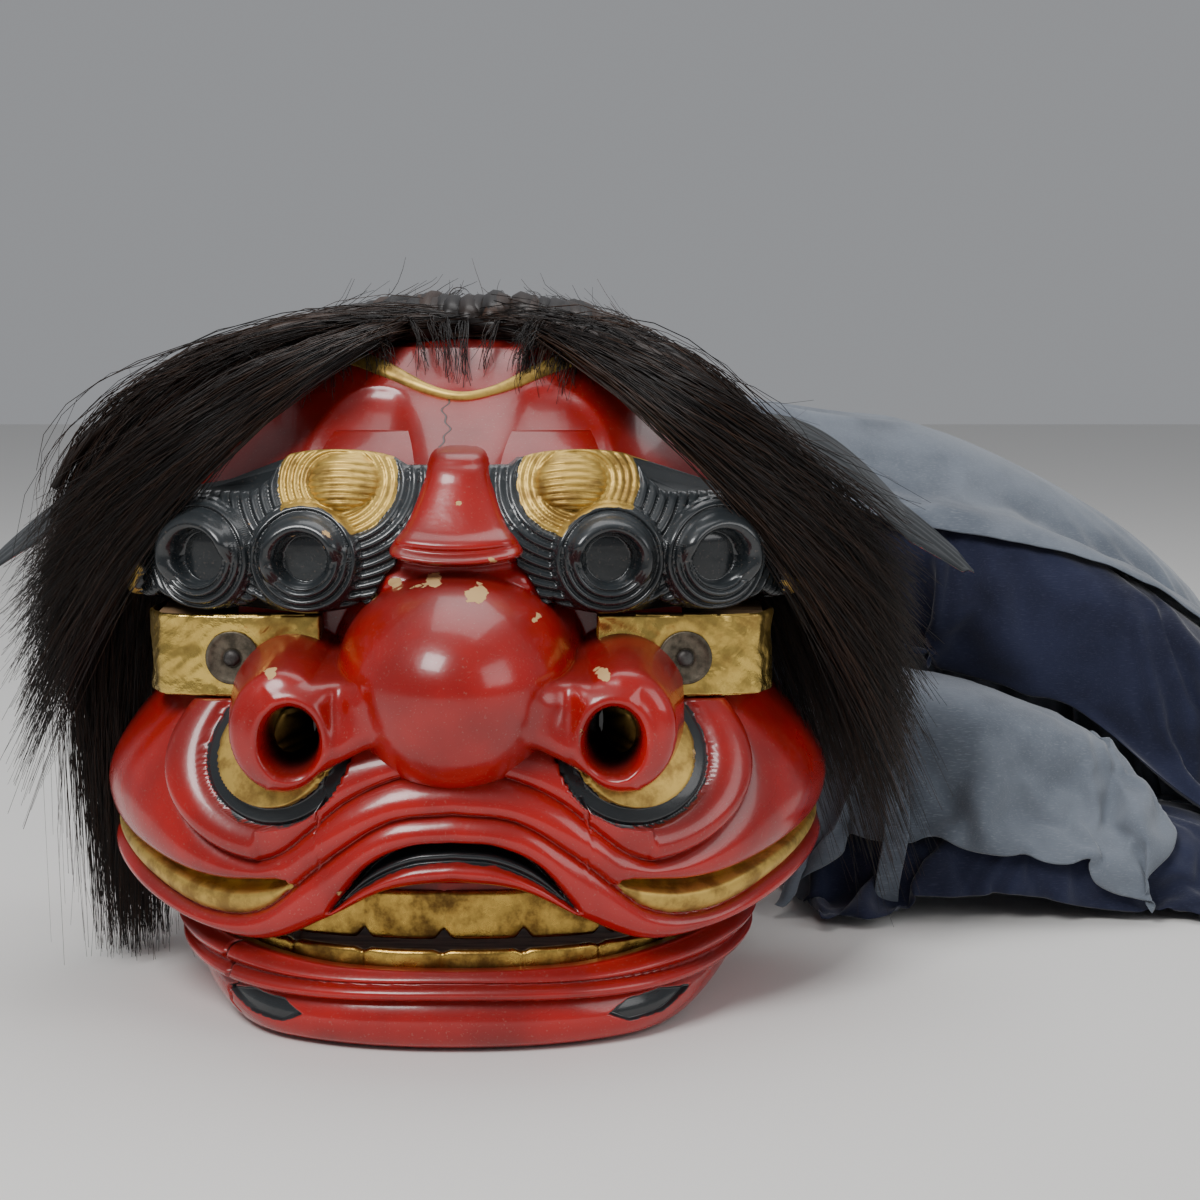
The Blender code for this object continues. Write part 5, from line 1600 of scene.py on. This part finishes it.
# %% Cotton
def cotton(name, light, dark, pale):
    made, tree, shader = new_material(name)
    place = add(tree, "ShaderNodeTexCoord")
    fade = cloud(tree, place, 14, 6, 0.6)
    slub = add(tree, "ShaderNodeMapping", {"Scale": (260, 1700, 1700)}, {"Vector": place.outputs["Object"]})
    threads = add(tree, "ShaderNodeTexNoise", {"Scale": 1, "Detail": 2}, {"Vector": slub.outputs["Vector"]})
    colour = mix_colour(tree, ramp(tree, fade.outputs["Fac"], 0.35, 0.68), light, dark)
    colour = mix_colour(
        tree, math_node(tree, "MULTIPLY", ramp(tree, threads.outputs["Fac"], 0.52, 0.75), 0.35), colour, pale
    )
    tree.links.new(colour, shader.inputs["Base Color"])
    shader.inputs["Roughness"].default_value = 0.9
    shader.inputs["Sheen Weight"].default_value = 0.25
    shader.inputs["Sheen Roughness"].default_value = 0.5
    shader.inputs["Specular IOR Level"].default_value = 0.2
    emboss(tree, shader, 0.35, 0.0004, threads.outputs["Fac"])
    return made


grey_cotton = cotton("grey cotton", (0.150, 0.172, 0.205), (0.085, 0.100, 0.125), (0.26, 0.28, 0.31))
navy_cotton = cotton("navy cotton", (0.017, 0.021, 0.050), (0.008, 0.010, 0.026), (0.045, 0.050, 0.085))


# %% Letting a sheet fall
def make_collider(node, shrink):
    """A smooth copy of a frame solid, drawn in a little, for cloth to land on."""
    mesh = bpy.data.objects[node].data.copy()
    piece = bpy.data.objects.new("under_" + node, mesh)
    bpy.context.scene.collection.objects.link(piece)
    bm = bmesh.new()
    bm.from_mesh(mesh)
    bmesh.ops.remove_doubles(bm, verts=bm.verts, dist=0.0001)
    middle = sum((v.co for v in bm.verts), Vector()) / len(bm.verts)
    for vert in bm.verts:
        vert.co = middle + (vert.co - middle) * shrink
    bmesh.ops.recalc_face_normals(bm, faces=bm.faces)
    bm.to_mesh(mesh)
    bm.free()
    smooth = piece.modifiers.new("smooth", "SUBSURF")
    smooth.levels = smooth.render_levels = 2
    piece.modifiers.new("collision", "COLLISION")
    piece.collision.thickness_outer = 0.003
    piece.collision.cloth_friction = 25
    piece.hide_render = True
    return piece


def make_table():
    mesh = bpy.data.meshes.new("table")
    mesh.from_pydata([(-1, -1, 0), (1, -1, 0), (1, 1, 0), (-1, 1, 0)], [], [(0, 1, 2, 3)])
    piece = bpy.data.objects.new("table", mesh)
    bpy.context.scene.collection.objects.link(piece)
    piece.modifiers.new("collision", "COLLISION")
    piece.collision.thickness_outer = 0.002
    piece.hide_render = True
    return piece


def flat_sheet(x_range, y_range, height, pitch, bend):
    """A grid of points for a sheet at a height, bent down towards +X as a parabola."""
    columns = int((x_range[1] - x_range[0]) / pitch)
    rows = int((y_range[1] - y_range[0]) / pitch)
    x = np.linspace(*x_range, columns)[None, :]
    y = np.linspace(*y_range, rows)[:, None]
    z = height - bend * np.maximum(x - 0.200, 0) ** 2 + 0 * y
    return np.stack(np.broadcast_arrays(x, y, z), -1)


HEAP_END, HEAP_SOFT = 0.430, 0.050


def let_fall(piece, frames, spare, stiffness, pins=None):
    """Runs the cloth and leaves its last shape in the mesh. spare is how much wider than it looks it is cut.
    Past the end of the heap each point is drawn in, the more the further out it is."""
    scene = bpy.context.scene
    if pins is not None:
        piece.vertex_groups.new(name="held").add([int(i) for i in pins], 1.0, "REPLACE")
    cloth = piece.modifiers.new("cloth", "CLOTH")
    settings = cloth.settings
    settings.quality = 6
    settings.mass = 0.12
    settings.tension_stiffness = settings.compression_stiffness = 12
    settings.shear_stiffness = 4
    settings.bending_stiffness = stiffness
    settings.air_damping = 2.5
    settings.shrink_min = -spare
    if pins is not None:
        settings.vertex_group_mass = "held"
    cloth.collision_settings.collision_quality = 3
    cloth.collision_settings.distance_min = 0.003
    cloth.point_cache.frame_end = frames
    for frame in range(1, frames + 1):
        scene.frame_set(frame)
    view = piece.evaluated_get(bpy.context.evaluated_depsgraph_get())
    places = np.empty(len(piece.data.vertices) * 3, np.float32)
    view.data.vertices.foreach_get("co", places)
    piece.modifiers.remove(cloth)
    scene.frame_set(1)
    places = places.reshape(-1, 3)
    places[:, 2] = np.maximum(places[:, 2], 0.0008)
    over = np.maximum(places[:, 0] - HEAP_END, 0)
    places[:, 0] += HEAP_SOFT * (1 - np.exp(-over / HEAP_SOFT)) - over
    piece.data.vertices.foreach_set("co", places.ravel())
    piece.data.update()


def finish_sheet(piece, thickness=0.0011):
    wall = piece.modifiers.new("thickness", "SOLIDIFY")
    wall.thickness = thickness
    wall.offset = 0
    smooth = piece.modifiers.new("smooth", "SUBSURF")
    smooth.levels = smooth.render_levels = 1


PITCH, FRAMES = 0.0050, 38
# Name, what it stands for, its cut in plan, height, bend, spare width, stiffness, cloth, and what holds it.
SHEETS = [
    ("navy_base", "cloth_base", ((0.150, 0.455), (0.030, 0.215)), 0.060, 0.3, 0.14, 0.08, "navy", None),
    ("grey_lining", "cloth_lining", ((0.160, 0.385), (0.035, 0.185)), 0.138, 0.9, 0.36, 0.04, "grey", None),
    ("navy_panel", "cloth_side", ((0.150, 0.474), (0.080, 0.205)), 0.213, 2.0, 0.16, 0.08, "navy", "rear"),
    ("grey_sheet", "cloth_back", ((0.112, 0.500), (0.140, 0.450)), 0.280, 1.6, 0.17, 0.08, "grey", "collar"),
]


def make_heap():
    """The four sheets, each let fall in turn on the frame's solids and on the sheets already down."""
    nodes_under = ("cloth_base", "cloth_lining", "cloth_side", "cloth_back")
    grounds = [make_table()] + [make_collider(node, 0.95) for node in nodes_under]
    made = {}
    for name, node, plan, height, bend, spare, stiffness, colour, held in SHEETS:
        points = flat_sheet(*plan, height, PITCH, bend)
        rows, columns, _ = points.shape
        points[..., 2] += 0.003 * noise(points[..., 0], points[..., 1], len(name), 0.05)
        if held == "rear":
            front_share = np.linspace(1, 0, rows)[:, None]
            points[..., 1] -= 0.085 * front_share * smoothstep(points[..., 0], 0.330, 0.420)
        material = grey_cotton if colour == "grey" else navy_cotton
        body = None if held == "collar" else "jaw"
        piece = grid_piece(name, points, body, material)
        pins = {
            None: None, "rear": (rows - 1) * columns + np.arange(columns), "collar": np.arange(8) * columns
        }[held]
        let_fall(piece, FRAMES, spare, stiffness, pins)
        piece.modifiers.new("landing", "COLLISION")
        piece.collision.thickness_outer = 0.0025
        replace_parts(piece, node)
        made[name] = piece
    for ground in grounds:
        bpy.data.objects.remove(ground)
    for piece in made.values():
        piece.modifiers.clear()
        finish_sheet(piece)
    return made


heap = make_heap()
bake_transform(heap["grey_sheet"])

# %% [markdown]
# ## The collar and the tie
# The cloth is gathered where the batten nails it to the head: flat under the batten, and in soft pleats
# behind it, which grow towards the free edge. A tie, one narrow strip, hangs from the heap.


# %% Collar and tie
def make_collar():
    swing = np.radians(np.linspace(4, 176, 300))[:, None]
    share = np.linspace(0, 1, 16)[None, :]
    y = 0.131 + 0.065 * share
    lift = math.pi / 2 + np.minimum((y - 0.010) / 0.150, 1)
    free = smoothstep(share, 0.30, 1.0)
    wander = 6 * np.sin(swing * 3 + 1) + 3 * np.sin(swing * 7)
    pleats = np.sin(swing * 38 + wander) * 0.0042 + np.sin(swing * 91 + 2 * wander) * 0.0012
    offset = 0.0022 + free * (0.0035 + pleats) + 0.0006 * noise(swing * 0.15, y, 41, 0.02)
    sag = free * 0.006 * np.abs(np.cos(swing))
    outer = shell_point(lift + 0 * swing, swing + 0 * share, offset)
    outer[..., 1] = y + 0 * swing
    outer[..., 2] -= sag
    piece = grid_piece("gathered_collar", outer, "upper_head", grey_cotton)
    finish_sheet(piece, 0.0012)
    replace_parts(piece, "cloth_collar")
    return piece


def make_tie():
    down = np.linspace(0, 1, 90)[:, None]
    across = np.linspace(-0.5, 0.5, 12)[None, :]
    x = 0.221 + 0.0135 * across + 0.0030 * np.sin(down * 5.0) + 0.0015 * down
    y = 0.0530 + 0.0022 * np.sin(down * 7 + 0.6) + 0.0016 * across * np.sin(down * 9 + across)
    z = 0.085 - 0.081 * down
    points = np.stack(np.broadcast_arrays(x, y, z), -1)
    piece = grid_piece("tie_strip", points, "jaw", grey_cotton)
    finish_sheet(piece, 0.0012)
    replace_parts(piece, "cloth_tie")
    return piece


make_collar()
make_tie()
